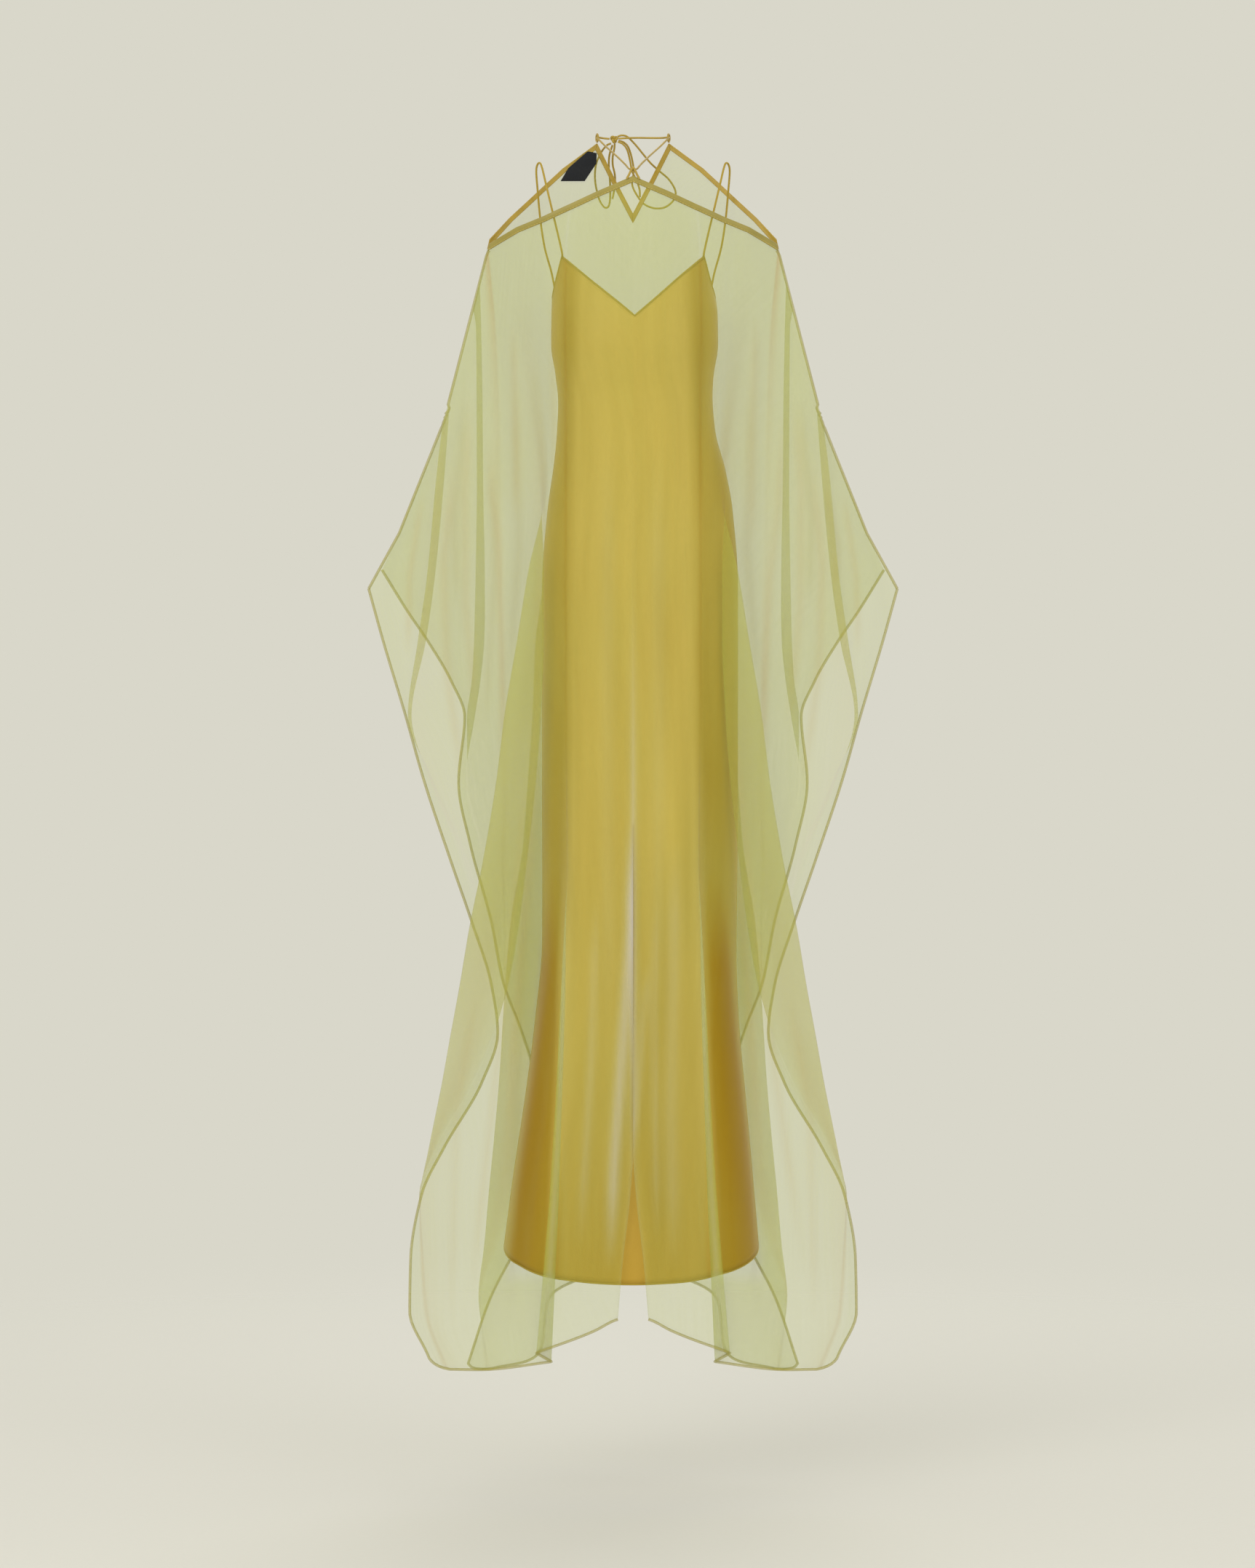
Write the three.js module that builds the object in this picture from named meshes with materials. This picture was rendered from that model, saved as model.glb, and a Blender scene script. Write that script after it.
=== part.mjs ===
// A sheer silk kaftan laced at the neck, over its satin slip, hollow and hanging as it is worn.
// Millimetres. +Z is up and the front faces -Y. The origin is at the nape, where the neck holds it.
// Both sheer panels are alike on the two sides, so each is given from the centre outwards, and mirrored.
import * as THREE from 'three';

// Thicknesses, widths and gaps
const SHEER = 1.2;
const SATIN = 1.4;
const BINDING = 2.2;
const FRONT_BINDING_WIDTH = 7.3;
const BACK_BINDING_WIDTH = 6;
const SEAM_GAP = 0.4;
const MITRE_GAP = 1.5;
const SEAM_LEAN = 0.25;
const LEAST_MITRE = 0.4;
const CORD = 2.6;
const STRAP = 2.6;
const LOOP_RADIUS = 5;
const LOOP_CORD = 2.2;
const KNOT_RADIUS = 5.5;
const LABEL_THICK = 1;
const LABEL_LIFT = 2.4;

// Lengths of one facet along the cords and the straps
const CORD_STEP = 6.5;
const STRAP_STEP = 9;

// Rows of cells down a sheer panel: half above the waist level, half below.
// A fold takes no point from a section within END_CLEAR of its own two ends.
const PANEL_ROWS = 24;
const WAIST_LEVEL = -760;
const END_CLEAR = 8;

// Rows down, and columns across, one slip panel
const SLIP_ROWS = 18;
const SLIP_COLUMNS = 14;

// Front panel. Columns are its fold lines from the centre out:
// centre, middle, pleat front, pleat back, side, outer fold, inner fold, shoulder,
// sleeve pleat outer, sleeve pleat inner, sleeve, side hem. Each is [out, y], and edges are [out, y, z].
const FRONT_EDGE = [
  [0, -52, -53], [46, -54, -73], [81, -51, -89], [86, -50, -91], [114, -42, -103], [148, -27, -115],
  [166, -14, -124], [183, -1.8, -133], [243, -6, -366], [234, -0.8, -342], [298, -0.8, -502],
  [337, -0.8, -573],
];
const FRONT_SECTIONS = [
  { z: -150, at: [[0, -86], [49, -83], [82, -70], [87, -68], [113, -57], [142, -38], [162, -22],
    [181, -6]] },
  { z: -240, at: [[0, -106], [51, -102], [83, -87], [88, -84], [110, -74], [130, -56], [150, -38],
    [176, -16]] },
  { z: -330, at: [[0, -108], [50, -104], [82, -93], [87, -90], [106, -79], [116, -68], [134, -52],
    [172, -24]] },
  { z: -430, at: [[0, -108], [50, -104], [82, -95], [87, -92], [104, -84], [108, -79], [120, -66],
    [170, -30], [250, -18], [240, -10]] },
  { z: -560, at: [[0, -110], [51, -107], [82, -98], [87, -95], [108, -88], [133, -84], [112, -72],
    [168, -34], [262, -26], [252, -17], [306, -12]] },
  { z: -640, at: [[0, -112], [51, -108], [82, -100], [86, -96], [111, -89], [146, -83], [112, -70],
    [166, -38], [273, -33], [263, -24], [296, -20], [318, -10]] },
  { z: -735, at: [[0, -114], [52, -111], [82, -103], [86, -99], [115, -91], [162, -82], [116, -67],
    [164, -42], [285.5, -35], [281, -30.5], [285, -27], [289, -22]] },
  { z: -815, at: [[0, -116], [52, -113], [82, -106], [84.5, -101], [120, -93], [172, -81],
    [122, -64], [162, -46], [254, -40], [258, -37], [262, -34], [266, -30]] },
  { z: -922, at: [[0, -120], [52, -117], [82, -114], [82.5, -107], [128, -95], [190, -79],
    [134, -60], [164, -50], [206, -45], [214, -43], [222, -41], [230, -39]] },
  { z: -1000, at: [[0, -123], [52, -120], [86, -118], [84, -110], [136, -97], [206, -78],
    [144, -58], [162, -53], [185, -49], [191, -47], [197, -45], [203, -43]] },
  { z: -1077, at: [[0, -126], [52, -123], [90, -122], [84.5, -114], [144, -99], [219, -78],
    [158, -61], [162, -58], [167, -55], [171, -52], [175, -49.5], [179, -47]] },
  { z: -1137, at: [[0, -128], [52, -126], [93, -125], [86, -116], [150, -101], [230, -79],
    [177, -67], [175, -63.5], [173.5, -60], [172.5, -57], [171.5, -53.5], [171, -50]] },
  { z: -1199, at: [[0, -131], [51, -129], [96, -127], [88, -118], [160, -103], [241, -80],
    [204, -70], [200, -67], [197, -64], [194.5, -61], [192.5, -58], [191, -55]] },
  { z: -1280, at: [[0, -134], [50, -132], [101, -130], [90.5, -121], [172, -105], [257, -83],
    [249, -77], [246, -73.5], [243.5, -70], [241.5, -67], [239.5, -64], [238, -61]] },
  { z: -1341, at: [[4, -136], [50, -134], [105, -132], [92.5, -123], [180, -107], [267, -87],
    [269, -82], [269, -78], [268.5, -74], [268, -70], [267.5, -66], [267, -62]] },
  { z: -1420, at: [[13, -138], [49, -136], [111.5, -136], [96, -126], [185, -109], [262, -92],
    [267, -89], [271, -86.5], [274, -84], [277, -81.5], [279, -79], [280, -76]] },
  { z: -1486, at: [[19, -140], [48, -138], [117, -138], [99, -128], [188, -112], [256, -97],
    [262, -94], [267, -91.5], [271, -89], [275, -86.5], [278, -84], [281, -81]] },
];
const FRONT_HEM = [
  [19, -140, -1489], [47, -138, -1503], [121, -139, -1531], [101.5, -129, -1543], [184, -112, -1555],
  [230, -101, -1556], [238, -98.5, -1554.5], [244, -96, -1552.5], [249, -94, -1550], [253, -92, -1547],
  [256, -90, -1543.5], [258, -88, -1539],
];

// Back panel. Columns from the centre out: centre, notch, peak, blade, hip, outer fold, inner fold,
// shoulder, sleeve pleat outer, sleeve pleat inner, sleeve, cuff, side hem.
const BACK_EDGE = [
  [0, 76, -85], [23, 66, -42], [46, 48, 2], [90, 43, -31], [112, 38, -52], [134, 28, -74], [158, 15, -98],
  [183, 1.8, -127], [204, 4, -216], [195.5, 8, -182], [239, 0.8, -356], [298, 0.8, -502], [320, 0.8, -549],
];
const BACK_SECTIONS = [
  { z: -150, at: [[0, 82], [26, 76], [52, 66], [92, 56], [112, 50], [132, 40], [154, 27], [180, 9]] },
  { z: -240, at: [[0, 86], [28, 84], [56, 78], [94, 68], [110, 60], [124, 50], [146, 36], [172, 20],
    [200.5, 7], [194, 15]] },
  { z: -330, at: [[0, 86], [28, 85], [56, 80], [92, 70], [106, 64], [116, 56], [134, 44], [164, 28],
    [200, 14], [192.5, 22]] },
  { z: -430, at: [[0, 92], [28, 90], [56, 84], [92, 74], [104, 68], [110, 62], [120, 50], [158, 34],
    [200, 22], [192, 31], [240, 14]] },
  { z: -560, at: [[0, 106], [28, 104], [56, 98], [94, 86], [106, 79], [116, 72], [114, 64],
    [154, 40], [202, 30], [190, 39], [246, 24], [290, 12]] },
  { z: -600, at: [[0, 107], [28, 105], [56, 99], [94, 87], [108, 80], [121, 73], [113, 65],
    [153, 42], [203, 32], [190, 41], [238, 30], [266, 25], [289, 20]] },
  { z: -640, at: [[0, 107], [28, 105], [56, 100], [95, 88], [110, 81], [126, 74], [112, 65],
    [152, 43], [204, 33], [191, 42], [226, 38], [246, 32], [262, 26]] },
  { z: -690, at: [[0, 107], [28, 105], [56, 100], [96, 89], [112, 82], [128, 75], [112, 65],
    [152, 44], [207, 33], [196, 42], [216, 41], [225, 38], [233, 33]] },
  { z: -735, at: [[0, 106], [28, 105], [56, 100], [96, 90], [113, 82], [130, 77], [112, 65],
    [152, 46], [213, 34], [203, 42], [208, 44], [212, 42], [216, 39]] },
  { z: -820, at: [[0, 105], [28, 104], [56, 100], [97, 90], [115, 83], [136, 78], [111, 66],
    [154, 48], [212, 38], [215, 41], [218, 43], [221, 44.5], [224, 46]] },
  { z: -900, at: [[0, 105], [28, 104], [56, 100], [98, 91], [118, 84], [142, 78], [111, 67],
    [154, 51], [192, 46], [197, 46.5], [201, 47], [205, 47.5], [209, 48]] },
  { z: -1000, at: [[0, 106], [28, 105], [56, 101], [99, 92], [122, 85], [158, 78], [112, 68],
    [146, 56], [166, 54], [170, 54], [174, 54], [178, 54], [182, 54]] },
  { z: -1077, at: [[0, 108], [28, 107], [56, 103], [100, 93], [124, 86], [165, 78], [112, 71],
    [138, 62], [151, 60], [155, 59.5], [159, 59], [163, 58.5], [167, 58]] },
  { z: -1137, at: [[0, 110], [28, 109], [56, 105], [101, 95], [126, 88], [169, 80], [109, 75],
    [125, 69], [132, 67.5], [135.5, 67], [139, 66.5], [142, 66], [145, 66]] },
  { z: -1199, at: [[0, 112], [28, 111], [56, 107], [102, 98], [128, 92], [173, 84], [108, 80],
    [112, 79], [115.5, 78.4], [118, 78], [120.5, 77.6], [123, 77.3], [126, 77]] },
  { z: -1280, at: [[0, 116], [28, 115], [56, 112], [103, 106], [130, 99], [180, 86], [120, 81],
    [116.5, 83], [114, 85], [112.5, 87], [111.5, 89], [111, 91], [111, 93]] },
  { z: -1341, at: [[0, 120], [29, 119], [58, 116], [104, 110], [130, 104], [186, 90], [146, 84],
    [136, 84], [130, 85], [126, 86], [122.5, 87.5], [119, 89.5], [116, 92]] },
  { z: -1420, at: [[0, 126], [30, 125], [59, 121], [104, 113], [128, 107], [193, 96], [176, 86],
    [170, 85], [166, 85], [162, 85.5], [158, 86.5], [154, 88], [150, 90]] },
  { z: -1486, at: [[0, 128], [30, 127], [60, 123], [104, 114], [126, 109], [200, 98], [198, 93],
    [195.5, 90], [193, 87.5], [190.5, 85.5], [188, 83.5], [186, 81.5], [184, 79.5]] },
];
const BACK_HEM = [
  [0, 128, -1440], [30, 127, -1447], [60, 123, -1462], [104, 114, -1484], [126, 110, -1565],
  [184, 98, -1580],
  [192, 95, -1580], [197.5, 92, -1579.5], [202, 90, -1579], [205.5, 88, -1578], [208.5, 86, -1576.5],
  [211, 84, -1574], [213, 82, -1571],
];

// Columns that end on the neck bindings; the others start on the sleeve seam
const NECK_COLUMNS = 8;

// Slip: level, centre to the wearer's left, half width, and depth of its front and back
const SLIP_SECTIONS = [
  { z: -130, centre: 0, half: 97, front: 60, back: 54 },
  { z: -178, centre: 0, half: 101, front: 82, back: 62 },
  { z: -225, centre: 2, half: 105, front: 94, back: 67 },
  { z: -262, centre: 2, half: 105.5, front: 96, back: 68 },
  { z: -300, centre: 2, half: 100, front: 90, back: 66 },
  { z: -332, centre: 3, half: 97.5, front: 84, back: 64 },
  { z: -372, centre: 4, half: 100, front: 82, back: 66 },
  { z: -422, centre: 8, half: 109, front: 86, back: 76 },
  { z: -472, centre: 9, half: 117, front: 92, back: 88 },
  { z: -572, centre: 9, half: 124, front: 97, back: 95 },
  { z: -822, centre: 9, half: 124, front: 100, back: 92 },
  { z: -1022, centre: 8, half: 123, front: 104, back: 94 },
  { z: -1122, centre: 5, half: 129, front: 108, back: 98 },
  { z: -1222, centre: 3, half: 140, front: 113, back: 102 },
  { z: -1322, centre: 0, half: 152, front: 119, back: 109 },
  { z: -1450, centre: -3, half: 166, front: 126, back: 119 },
];
const SLIP_ROUNDNESS = 2.2;
const V_TIP = -234;
const STRAP_POINT = -153;
const STRAP_AT = 0.91;
const UNDERARM = -202;
const BACK_DIP = 38;
const SLIP_SIDE_HEM = -1410;
const SLIP_FRONT_DIP = 37;
const SLIP_BACK_DIP = 22;

// Slip straps, over the shoulder from the front strap point to the back edge
const STRAP_ROUTE = [
  [90, -39, -148.6], [94, -33, -130], [102, -25, -96], [110, -14, -62], [115.5, -6, -38], [118.5, 0, -30],
  [122, 5, -31.5], [123.5, 9, -40], [122, 16, -62], [118.5, 25, -100], [113, 30, -135], [104, 31, -168],
  [98, 28, -199.5],
];

// Tie cord: one run through the three neck loops, from knot to knot, then its bow and ends
const KNOT = [-24, 51, 7.5];
const TIE_RUN = [
  [-30.2, 50, 7.8], [-36, 51, 8.4], [-41.5, 51.2, 9.2], [-45, 49.5, 9.5], [-46, 46.5, 9],
  [-45, 42, 7], [-42, 35, 3],
  [-34, 18, -7], [-22, -8, -21], [-10, -34, -36], [-5, -46, -43.2], [0, -51.5, -45.5],
  [5, -46, -43.2], [10, -34, -36], [22, -8, -21], [34, 18, -7], [42, 35, 3],
  [45, 42, 7], [46, 46.5, 9], [45, 49.5, 9.5], [41.5, 51.2, 9.4], [34, 50, 8.8], [20, 48, 8.6],
  [4, 47, 8.6],
  [-10, 47, 8.2], [-18.4, 48, 7.8],
];
const BOW_LEFT = [
  [-28.5, 54, 2.4], [-34, 57, 0], [-41, 63, -8], [-47, 73, -20], [-49, 80, -32], [-48.5, 84, -45],
  [-46, 86, -57],
  [-42.5, 87, -68], [-36.5, 87, -76], [-31.5, 86.5, -74.5], [-29.5, 86, -64], [-29.5, 83, -45],
  [-31, 76, -27],
  [-30.5, 67, -12], [-26.5, 57.8, 0.6],
];
const BOW_RIGHT = [
  [-19.6, 53, 11.2], [-14, 54.5, 12.8], [-7, 55, 11], [3, 58, 1.5], [13, 63, -10], [23, 70, -21],
  [34, 77, -30],
  [47, 82, -41], [55, 85, -55], [53, 86.5, -66], [42, 87, -75.5], [28, 87, -77], [15, 86, -72],
  [5.5, 84, -61],
  [-1, 79, -47], [1, 71, -31], [-1.5, 63, -15], [-6, 57, -2], [-12, 55, 4], [-18.6, 54.4, 6],
];
const END_LEFT = [
  [-23.5, 53.5, 1.6], [-24, 58, -4], [-26, 65, -13], [-26, 71, -23], [-23.5, 75, -34], [-23, 78, -45],
  [-24.5, 79, -56], [-26.5, 79, -66],
];
const END_RIGHT = [
  [-19.4, 48, 3.8], [-13, 49, 1], [-7.5, 51, -6], [-4, 57, -18], [-1, 64, -32], [5, 71, -44],
  [8.5, 75, -54],
  [9, 77, -64],
];

// Label: its six corners on the back panel, left of the notch, as [out, z] in three rows
const LABEL_ROWS = [[[46.5, -11], [58, -9]], [[47, -24], [83, -31]], [[62, -47], [93, -48]]];

const KAFTAN = { color: 0xc9cf9a, roughness: 0.6, metalness: 0 };
const TRIM = { color: 0xbfa63f, roughness: 0.5, metalness: 0 };
const SLIP = { color: 0xb89c48, roughness: 0.4, metalness: 0 };
const LABEL = { color: 0x101216, roughness: 0.5, metalness: 0 };

const garment = new THREE.Group();

// Adds one named piece with a material of its own
function addPiece(name, geometry, finish) {
  const mesh = new THREE.Mesh(geometry, new THREE.MeshStandardMaterial(finish));
  mesh.name = name;
  garment.add(mesh);
}

// Makes a closed wall from cloth cells of four corners each, half its thickness on either side.
// Corners at one place become one point, and every open edge of the net is closed by a rim.
// At a fold the two sides are mitred, so that the wall keeps its thickness round it.
function wall(cells, thickness) {
  const places = new Map();
  const points = [];
  const triangles = [];
  const indexOf = (point) => {
    const key = point.toArray().map((value) => value.toFixed(3)).join();
    if (!places.has(key)) {
      places.set(key, points.length);
      points.push(point);
    }
    return places.get(key);
  };
  for (const cell of cells) {
    const [a, b, c, d] = cell.map(indexOf);
    for (const [p, q, r] of [[a, b, c], [a, c, d]]) {
      if (p !== q && q !== r && r !== p) triangles.push([p, q, r]);
    }
  }
  const facings = points.map(() => []);
  const edges = new Set();
  for (const [a, b, c] of triangles) {
    const normal = new THREE.Triangle(points[a], points[b], points[c]).getNormal(new THREE.Vector3());
    for (const [corner, next, last] of [[a, b, c], [b, c, a], [c, a, b]]) {
      const towards = points[next].clone().sub(points[corner]);
      facings[corner].push({ normal, weight: towards.angleTo(points[last].clone().sub(points[corner])) });
      edges.add([corner, next].join());
    }
  }
  const lifts = facings.map((around) => {
    const lift = new THREE.Vector3();
    for (const { normal, weight } of around) lift.addScaledVector(normal, weight);
    lift.normalize();
    const least = Math.min(...around.map(({ normal }) => normal.dot(lift)));
    return lift.divideScalar(Math.max(least, LEAST_MITRE));
  });
  const sides = [thickness / 2, -thickness / 2].map((distance) => points.map(
    (point, i) => point.clone().addScaledVector(lifts[i], distance),
  ));
  const [outer, inner] = sides;
  const faces = [];
  for (const [a, b, c] of triangles) {
    faces.push([outer[a], outer[b], outer[c]], [inner[c], inner[b], inner[a]]);
    for (const [from, to] of [[a, b], [b, c], [c, a]]) {
      if (edges.has([to, from].join())) continue;
      faces.push([outer[to], outer[from], inner[from]], [outer[to], inner[from], inner[to]]);
    }
  }
  const geometry = new THREE.BufferGeometry().setFromPoints(faces.flat());
  geometry.computeVertexNormals();
  return geometry;
}

// Cells between the neighbouring points of a list of rows
function cellsOf(rows) {
  const cells = [];
  for (let r = 0; r + 1 < rows.length; r += 1) {
    for (let c = 0; c + 1 < rows[r].length; c += 1) {
      cells.push([rows[r][c], rows[r][c + 1], rows[r + 1][c + 1], rows[r + 1][c]]);
    }
  }
  return cells;
}

// Moves an edge line into its panel by a width, in the X-Z plane.
// Its corners are mitred, and its two ends lie along the sleeve seams.
function inset(edge, width) {
  const along = edge.slice(1).map((point, i) => point.clone().sub(edge[i]));
  const across = along.map((step) => new THREE.Vector3(step.z, 0, -step.x).normalize());
  return edge.map((point, i) => {
    const before = across[Math.max(i - 1, 0)];
    const after = across[Math.min(i, across.length - 1)];
    const mitre = before.clone().add(after);
    if (i === 0 || i === across.length) mitre.set(Math.sign(point.x) * SEAM_LEAN, 0, -1);
    mitre.normalize();
    return point.clone().addScaledVector(mitre, width / mitre.dot(after));
  });
}

// One side's column as a point: out from the centre line, to the left or the right
const sidePoint = ([out, y, z], side) => new THREE.Vector3(side * out, y, z);

// The neck edge of a panel, from the left shoulder over the centre to the right shoulder
function neckEdge(edge) {
  const half = edge.slice(0, NECK_COLUMNS);
  const left = half.slice(1).reverse().map((point) => sidePoint(point, -1));
  return [...left, ...half.map((point) => sidePoint(point, 1))];
}

// A fold line's [out, y, z] at a level, between its top, its places in the sections and its hem
function foldAt(fold, level) {
  const below = fold.findIndex((point) => point[2] <= level);
  if (below <= 0) return fold[below < 0 ? fold.length - 1 : 0];
  const [high, low] = [fold[below - 1], fold[below]];
  const share = (high[2] - level) / (high[2] - low[2]);
  return high.map((value, i) => value + (low[i] - value) * share);
}

// The fold lines of half a panel, each from its top point to its hem point
function foldLines(tops, sections, hem) {
  return tops.map((top, column) => {
    const between = sections.filter(({ z, at }) => (
      at[column] && z < top[2] - END_CLEAR && z > hem[column][2] + END_CLEAR
    ));
    return [top, ...between.map(({ z, at }) => [...at[column], z]), hem[column]];
  });
}

// The net of half a panel: columns on the fold lines, rows level from the waist down
function halfNet(folds, side) {
  const rows = [];
  for (let r = 0; r <= PANEL_ROWS; r += 1) {
    const share = (2 * r) / PANEL_ROWS;
    rows.push(folds.map((fold) => {
      const top = fold[0][2];
      const bottom = fold[fold.length - 1][2];
      const level = share < 1
        ? top + (WAIST_LEVEL - top) * share
        : WAIST_LEVEL + (bottom - WAIST_LEVEL) * (share - 1);
      return sidePoint(foldAt(fold, level), side);
    }));
  }
  return rows;
}

// A whole panel. Its two halves share the centre line, except where the table parts them as a slit.
function panel(edge, bindingWidth, sections, hem) {
  const top = inset(neckEdge(edge), bindingWidth + SEAM_GAP);
  const neckTops = top.slice(NECK_COLUMNS - 1).map((point) => point.toArray());
  const tops = [...neckTops, ...edge.slice(NECK_COLUMNS)];
  const folds = foldLines(tops, sections, hem);
  const left = halfNet(folds, -1).map((row) => row.reverse());
  const right = halfNet(folds, 1);
  return { folds, cells: [...cellsOf(left), ...cellsOf(right)] };
}

// A binding strip along part of a neck edge
function binding(edge, width, from, to) {
  const inner = inset(edge, width);
  const trim = (line) => {
    const part = line.slice(from, to + 1);
    const ends = [[0, 1], [part.length - 1, part.length - 2]].map(([end, next]) => (
      part[end].clone().add(part[next].clone().sub(part[end]).setLength(MITRE_GAP))
    ));
    return [ends[0], ...part.slice(1, -1), ends[1]];
  };
  return wall(cellsOf([trim(edge), trim(inner)]), BINDING);
}

function slipSection(z) {
  const last = SLIP_SECTIONS.length - 1;
  const below = Math.min(Math.max(SLIP_SECTIONS.findIndex((section) => section.z <= z), 1), last);
  const [high, low] = [SLIP_SECTIONS[below - 1], SLIP_SECTIONS[below]];
  const share = (high.z - z) / (high.z - low.z);
  const mix = (key) => high[key] + (low[key] - high[key]) * share;
  return { centre: mix('centre'), half: mix('half'), front: mix('front'), back: mix('back') };
}

// Height of the V neckline and armhole, by the share of the half width from the centre to the side
function slipFrontTop(share) {
  if (share < STRAP_AT) return V_TIP + ((STRAP_POINT - V_TIP) * share) / STRAP_AT;
  return STRAP_POINT + ((UNDERARM - STRAP_POINT) * (share - STRAP_AT)) / (1 - STRAP_AT);
}

// A slip panel round half the body, as seen from above: facing is -1 at the front and 1 at the back
function slipPanel(facing) {
  const rows = [];
  for (let r = 0; r <= SLIP_ROWS; r += 1) {
    const row = [];
    for (let c = 0; c <= SLIP_COLUMNS; c += 1) {
      const turn = ((2 * c) / SLIP_COLUMNS - 1) * (Math.PI / 2);
      const across = Math.abs(Math.sin(turn));
      const power = 2 / SLIP_ROUNDNESS;
      const top = facing < 0
        ? slipFrontTop(across ** power)
        : UNDERARM - BACK_DIP * (1 - across ** 2);
      const dip = facing < 0 ? SLIP_FRONT_DIP : SLIP_BACK_DIP;
      const bottom = SLIP_SIDE_HEM - dip * Math.cos(turn);
      const z = top + ((bottom - top) * r) / SLIP_ROWS;
      const section = slipSection(z);
      const depth = facing < 0 ? section.front : section.back;
      const x = section.centre + Math.sign(turn) * section.half * across ** power;
      const y = facing * (depth * Math.max(Math.cos(turn), 0) ** power + SEAM_GAP);
      row.push(new THREE.Vector3(x, y, z));
    }
    rows.push(facing < 0 ? row : row.reverse());
  }
  return wall(cellsOf(rows), SATIN);
}

// A round cord along a smooth line through its points
function cord(points, diameter, step) {
  const path = new THREE.CatmullRomCurve3(points.map((point) => new THREE.Vector3(...point)));
  const sides = 8;
  const ring = Array.from({ length: sides }, (_, i) => {
    const turn = (2 * Math.PI * i) / sides;
    return new THREE.Vector2(Math.cos(turn), Math.sin(turn)).multiplyScalar(diameter / 2);
  });
  const steps = Math.round(path.getLength() / step);
  return new THREE.ExtrudeGeometry(new THREE.Shape(ring), { extrudePath: path, steps });
}

// Sheer panels
const front = panel(FRONT_EDGE, FRONT_BINDING_WIDTH, FRONT_SECTIONS, FRONT_HEM);
const back = panel(BACK_EDGE, BACK_BINDING_WIDTH, BACK_SECTIONS, BACK_HEM);
addPiece('front_panel', wall(front.cells, SHEER), KAFTAN);
addPiece('back_panel', wall(back.cells, SHEER), KAFTAN);

// Neck bindings: one over the front edge, four along the shoulders and the notch of the back
const frontEdge = neckEdge(FRONT_EDGE);
const backEdge = neckEdge(BACK_EDGE);
const BACK_CORNERS = { shoulder_left: [0, 5], notch_left: [5, 7], notch_right: [7, 9],
shoulder_right: [9, 14] };
addPiece('front_neck_binding', binding(frontEdge, FRONT_BINDING_WIDTH, 0, frontEdge.length - 1), TRIM);
for (const [place, [from, to]] of Object.entries(BACK_CORNERS)) {
  addPiece(`${place}_binding`, binding(backEdge, BACK_BINDING_WIDTH, from, to), TRIM);
}

// Loops that carry the tie: one on each back peak and one at the front centre
const LOOPS = {
  neck_loop_left: { at: [-46, 46.5, 9], turn: 1.4 },
  neck_loop_right: { at: [46, 46.5, 9], turn: -1.4 },
  neck_loop_front: { at: [0, -51.5, -45.5], turn: 0 },
};
for (const [name, { at, turn }] of Object.entries(LOOPS)) {
  const loop = new THREE.TorusGeometry(LOOP_RADIUS, LOOP_CORD / 2, 8, 16);
  loop.rotateY(Math.PI / 2).rotateZ(turn).translate(...at);
  addPiece(name, loop, TRIM);
}

// Tie cord
addPiece('tie_run', cord(TIE_RUN, CORD, CORD_STEP), TRIM);
addPiece('tie_knot', new THREE.SphereGeometry(KNOT_RADIUS, 12, 8).translate(...KNOT), TRIM);
addPiece('tie_bow_left', cord(BOW_LEFT, CORD, CORD_STEP), TRIM);
addPiece('tie_bow_right', cord(BOW_RIGHT, CORD, CORD_STEP), TRIM);
addPiece('tie_end_left', cord(END_LEFT, CORD, CORD_STEP), TRIM);
addPiece('tie_end_right', cord(END_RIGHT, CORD, CORD_STEP), TRIM);

// Blank label inside the back panel, its corners taken from the panel and moved towards the front
function backDepth(out, level) {
  const row = back.folds.slice(0, NECK_COLUMNS).map((fold) => foldAt(fold, level));
  const next = Math.max(row.findIndex((point) => point[0] >= out), 1);
  const share = (out - row[next - 1][0]) / (row[next][0] - row[next - 1][0]);
  return row[next - 1][1] + (row[next][1] - row[next - 1][1]) * share;
}
const labelRows = LABEL_ROWS.map((row) => row.map(([out, z]) => (
  new THREE.Vector3(-out, backDepth(out, z) - SHEER / 2 - LABEL_LIFT, z)
)));
addPiece('label', wall(cellsOf(labelRows), LABEL_THICK), LABEL);

// Slip
addPiece('slip_front', slipPanel(-1), SLIP);
addPiece('slip_back', slipPanel(1), SLIP);
for (const [name, side] of [['slip_strap_left', -1], ['slip_strap_right', 1]]) {
  addPiece(name, cord(STRAP_ROUTE.map(([x, y, z]) => [side * x, y, z]), STRAP, STRAP_STEP), SLIP);
}

export default garment;
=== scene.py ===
import math

import bpy
import numpy as np
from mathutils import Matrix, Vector


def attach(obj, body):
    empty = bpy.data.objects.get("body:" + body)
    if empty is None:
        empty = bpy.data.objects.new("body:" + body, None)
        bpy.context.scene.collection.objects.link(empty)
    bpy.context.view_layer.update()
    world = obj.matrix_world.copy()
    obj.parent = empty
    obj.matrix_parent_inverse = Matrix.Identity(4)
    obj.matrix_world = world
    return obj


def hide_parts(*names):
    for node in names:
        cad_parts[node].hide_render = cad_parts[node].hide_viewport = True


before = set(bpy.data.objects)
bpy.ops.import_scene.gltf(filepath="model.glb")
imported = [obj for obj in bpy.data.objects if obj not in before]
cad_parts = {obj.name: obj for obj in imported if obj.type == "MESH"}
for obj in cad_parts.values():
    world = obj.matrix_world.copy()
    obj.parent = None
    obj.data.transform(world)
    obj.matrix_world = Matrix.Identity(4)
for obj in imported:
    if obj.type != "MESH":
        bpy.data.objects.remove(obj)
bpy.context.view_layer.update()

# ---- Sizes, in metres
MM = 0.001
ORGANZA_THICK = 0.0004
SATIN_THICK = 0.0008
BINDING_THICK = 0.0017
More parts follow.
